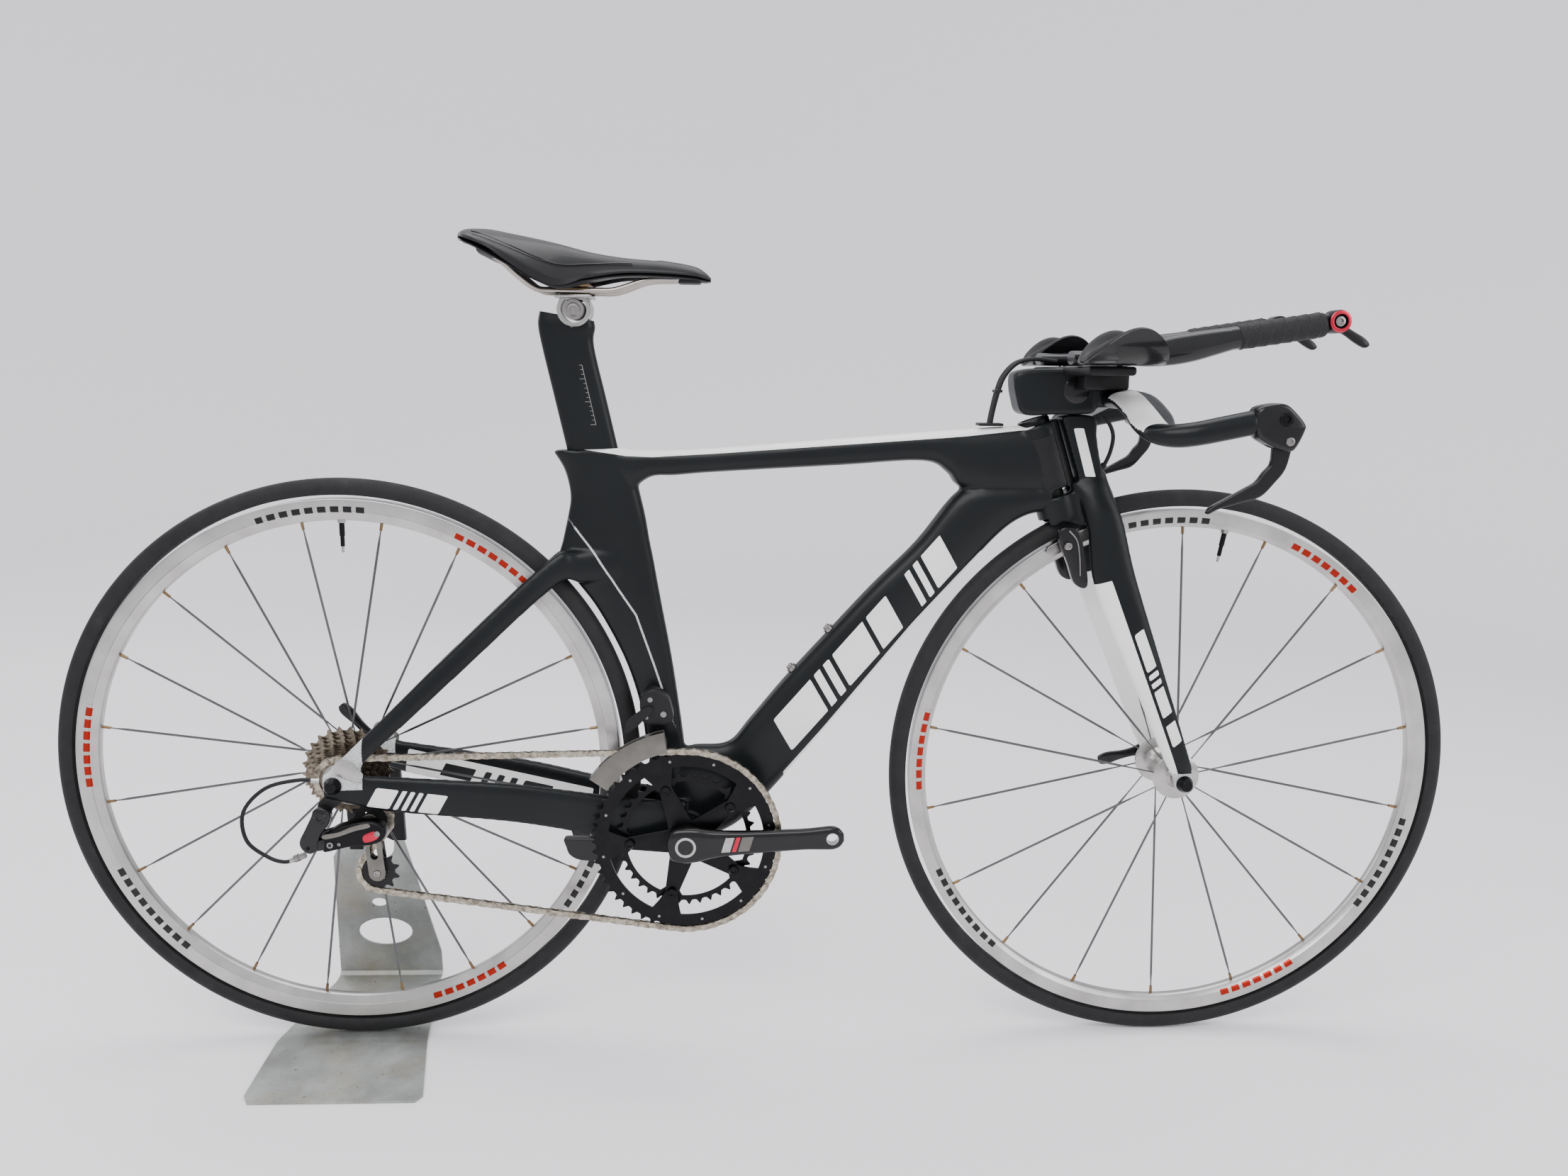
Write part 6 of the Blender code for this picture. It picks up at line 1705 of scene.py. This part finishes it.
def build_rear_derailleur():
    """Fixed knuckle, unattached links and the moving block."""
    knuckle = rounded([(-0.0235, 0.3050), (-0.0205, 0.3130), (-0.0130, 0.3160),
                       (-0.0050, 0.3130), (-0.0022, 0.3050), (-0.0060, 0.2950),
                       (-0.0130, 0.2860), (-0.0172, 0.2760), (-0.0185, 0.2670),
                       (-0.0270, 0.2627), (-0.0350, 0.2680), (-0.0372, 0.2770),
                       (-0.0310, 0.2900)])
    piece("rd_knuckle", joined(plate(knuckle, -0.0790, 0.0058, rounding=0.002),
                               bolt((-0.0130, 0.3050), -0.0846, -1.0, 0.0068, 0.0022)),
          "frame", "gloss", ["derailleur_knuckle"])
    hanger = rounded([(0.0060, 0.3330), (-0.0060, 0.3290), (-0.0170, 0.3190), (-0.0205, 0.3060),
                      (-0.0150, 0.2975), (-0.0070, 0.2990), (-0.0030, 0.3100),
                      (0.0080, 0.3200)])
    piece("rd_hanger", plate(hanger, -0.0712, 0.0018, rounding=0.0004), "frame", "satin")
    barrel = joined(rod((-0.0330, -0.0790, 0.2600), (-0.0430, -0.0785, 0.2560), 0.0036, 14),
                    rod((-0.0400, -0.0787, 0.2572), (-0.0450, -0.0783, 0.2552), 0.0044, 12))
    piece("rd_adjuster", barrel, "frame", "steel")
    block = rounded([(-0.0120, 0.2640), (0.0000, 0.2660), (0.0180, 0.2702), (0.0400, 0.2722),
                     (0.0520, 0.2770), (0.0568, 0.2850), (0.0540, 0.2935), (0.0430, 0.2992),
                     (0.0300, 0.2994), (0.0150, 0.2962), (0.0000, 0.2915), (-0.0105, 0.2820),
                     (-0.0125, 0.2730)])
    piece("rd_block", plate(block, -0.0745, 0.0088, rounding=0.003), "shifting_block",
          "black_metal", ["rear_derailleur"])
    accent = rounded([(0.0340, 0.2760), (0.0460, 0.2790), (0.0505, 0.2850), (0.0450, 0.2890),
                      (0.0330, 0.2840)])
    piece("rd_accent", plate(accent, -0.0834, 0.0008, rounding=0.0003), "shifting_block", "red")
    outer, inner = ((-0.0285, 0.2700), (-0.0050, 0.2735)), ((-0.0240, 0.2790), (-0.0010, 0.2850))
    links = [plate(capsule(a, 0.0060, b, 0.0060), y, 0.0030, rounding=0.001)
             for (a, b), y in ((outer, -0.0800), (inner, -0.0760))]
    links += [cross_rod(at, -0.0848, -0.0700, 0.0026, 16) for at in outer]
    link_piece = piece("rd_links", joined(*links), "", "gloss")
    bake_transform(link_piece)
    front_link = rounded([(-0.0110, 0.2850), (0.0050, 0.2880), (0.0220, 0.2950),
                          (0.0380, 0.2978), (0.0400, 0.2935), (0.0240, 0.2895),
                          (0.0060, 0.2830), (-0.0100, 0.2800)])
    piece("rd_link", plate(front_link, -0.0836, 0.0010, rounding=0.0004), "shifting_block",
          "grey")
    screws = joined(bolt((0.0480, 0.2860), -0.0838, -1.0, 0.0036, 0.0016),
                    bolt((-0.0040, 0.2730), -0.0832, -1.0, 0.0040, 0.0018),
                    bolt((0.0060, 0.2740), -0.0832, -1.0, 0.0022, 0.0016))
    piece("rd_screws", screws, "shifting_block", "steel")
    build_cage()


def build_cage():
    """Cage plates with their pins, and the two jockey wheels."""
    x, z = ((a + b) / 2.0 for a, b in zip(GUIDE, TENSION))
    hole = capsule((x - 0.0005, z + 0.010), 0.0042, (x + 0.0005, z - 0.010), 0.0042)
    plates = [plate(capsule(GUIDE, 0.0092, TENSION, 0.0094), y, 0.0006, [hole], 0.0002)
              for y in (-0.0626, -0.0508)]
    piece("rd_cage", joined(*plates), "cage", "grey", ["derailleur_cage"])
    pins = [cross_rod(at, -0.0632, -0.0502, 0.0031, 24) for at in (GUIDE, TENSION)]
    pins += [bolt(at, -0.0630, -1.0, 0.0042, 0.0018) for at in (GUIDE, TENSION)]
    piece("rd_cage_pins", joined(*pins), "cage", "steel")
    for name, body, at in (("guide", "upper_pulley", GUIDE),
                           ("tension", "lower_pulley", TENSION)):
        r = roller_radius(PULLEY_TEETH)
        holes = [circle(0.0036, 24)] + [circle(0.0016, 12, p) for p in circle(0.0095, 6)]
        wheel = toothed(PULLEY_TEETH, r + 0.0012, r - 0.0044, COG_Y, 0.0011, holes)
        cap = turned([(0.0036, COG_Y - 0.0021), (0.0056, COG_Y - 0.0019),
                      (0.0060, COG_Y - 0.0011), (0.0036, COG_Y - 0.0011)], ORIGIN, 28)
        piece(name + "_jockey", moved(joined(wheel, cap), at), body, "satin",
              [name + "_pulley"])


def sector(inner, outer, start, end, y, half):
    """Part of a flat ring about the crank axis."""
    return plate(arc(CRANK_AXIS, outer, start, end, 24) + arc(CRANK_AXIS, inner, end, start, 24),
                 y, half, rounding=0.0002)


def build_front_derailleur():
    """Clamp body, cage and the unattached link between them."""
    outline = rounded([(0.3390, 0.3990), (0.3520, 0.3968), (0.3655, 0.3970), (0.3728, 0.4040),
                       (0.3712, 0.4160), (0.3670, 0.4290), (0.3570, 0.4360), (0.3475, 0.4390),
                       (0.3370, 0.4300), (0.3350, 0.4180)])
    piece("fd_body", plate(outline, -0.0252, 0.0118, rounding=0.003), "frame", "satin",
          ["front_derailleur"])
    screws = joined(bolt((0.3620, 0.4100), -0.0368, -1.0, 0.0040, 0.0018),
                    bolt((0.3470, 0.4270), -0.0368, -1.0, 0.0034, 0.0016),
                    bolt((0.3430, 0.4060), -0.0368, -1.0, 0.0022, 0.0014))
    piece("fd_screws", screws, "frame", "steel")
    cage = [sector(0.1092, 0.1332, 101.0, 145.0, -0.0532, 0.0006),
            sector(0.1092, 0.1332, 101.0, 145.0, -0.0411, 0.0006),
            sector(0.1312, 0.1330, 101.0, 112.0, -0.0472, 0.0060),
            sector(0.1312, 0.1330, 138.0, 144.0, -0.0472, 0.0060)]
    piece("fd_cage_plates", joined(*cage), "front_guide", "grey", ["front_cage"])
    link = rounded([(0.3180, 0.3880), (0.3280, 0.3920), (0.3400, 0.4040), (0.3500, 0.4140),
                    (0.3460, 0.4200), (0.3330, 0.4130), (0.3210, 0.4030)])
    link_piece = piece("fd_link", plate(link, -0.0392, 0.0009, rounding=0.0003), "", "satin")
    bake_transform(link_piece)


def build_rear_brake(label, side):
    body = "rear_arm_" + label
    arm = [(0.3040, 0.2425), (0.2990, 0.2550), (0.2850, 0.2580), (0.2600, 0.2588),
           (0.2460, 0.2580), (0.2480, 0.2480), (0.2520, 0.2385), (0.2640, 0.2320),
           (0.2880, 0.2320)]
    piece("rear_arm_cast_" + label, plate(rounded(arm, 5), side * 0.0245, 0.0058, rounding=0.002),
          body, "gloss", ["rear_brake_" + label])
    build_pads(label, side, body, "rear", (0.2930, 0.2460), (0.3025, 0.9531), 0.0240)


def build_cables():
    """Housings; those that cross from the steered parts to the frame are left unattached."""
    route = ((0.8020, 0.8105), (0.7780, 0.8130), (0.7580, 0.8085), (0.7440, 0.7940),
             (0.7375, 0.7770), (0.7325, 0.7550), (0.7300, 0.7395))
    hoses = [tube([(x, y * (1.0 if i < 5 else 0.9), z) for i, (x, z) in enumerate(route)],
                  0.0023, 14) for y in (-0.0065, 0.0, 0.0065)]
    tie = slab((0.7332, -0.0092, 0.7752), (0.7418, 0.0092, 0.7786), 0.0010)
    bundle = piece("brake_hoses", joined(*hoses, tie), "", "rubber", ["cable_bundle"])
    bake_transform(bundle)
    piece("cable_grommet", slab((0.7160, -0.0115, 0.7380), (0.7440, 0.0115, 0.7412), 0.0012),
          "frame", "rubber")
    front = [(0.8550, -0.0100, 0.7500), (0.8645, -0.0100, 0.7420), (0.8700, -0.0090, 0.7280),
             (0.8685, -0.0070, 0.7110), (0.8630, -0.0062, 0.6965),
             (0.8570, -0.0060, 0.6880), (0.8500, -0.0060, 0.6830)]
    piece("front_hose", tube(front, 0.0023, 14), "steerer", "rubber",
          ["front_brake_cable"])
    gland = rod((0.8628, -0.0062, 0.6962), (0.8560, -0.0060, 0.6868), 0.0036, 20)
    piece("front_hose_gland", gland, "steerer", "satin")
    rear = [(-0.0160, -0.0705, 0.3430), (-0.0400, -0.0715, 0.3440), (-0.0750, -0.0730, 0.3350),
            (-0.1000, -0.0740, 0.3080), (-0.0980, -0.0745, 0.2750), (-0.0760, -0.0745, 0.2560),
            (-0.0570, -0.0770, 0.2510), (-0.0420, -0.0785, 0.2560)]
    piece("derailleur_hose", tube(rear, 0.0022, 14), "frame", "rubber",
          ["derailleur_cable"])
    ferrules = joined(rod((-0.0160, -0.0705, 0.3430), (-0.0250, -0.0709, 0.3434), 0.0029, 14),
                      rod((-0.0500, -0.0777, 0.2528), (-0.0415, -0.0785, 0.2562), 0.0029, 14))
    piece("cable_ferrules", ferrules, "frame", "silver")


make_camera()
make_light()
make_stage()
build_stand()
build_frame_skin()
build_saddle()
build_fork()
build_bars()
build_wheels()
build_cassette()
build_chain()
build_rings()
build_cranks()
build_rear_derailleur()
build_front_derailleur()
for side_label, side_sign in SIDES:
    build_rear_brake(side_label, side_sign)
build_cables()
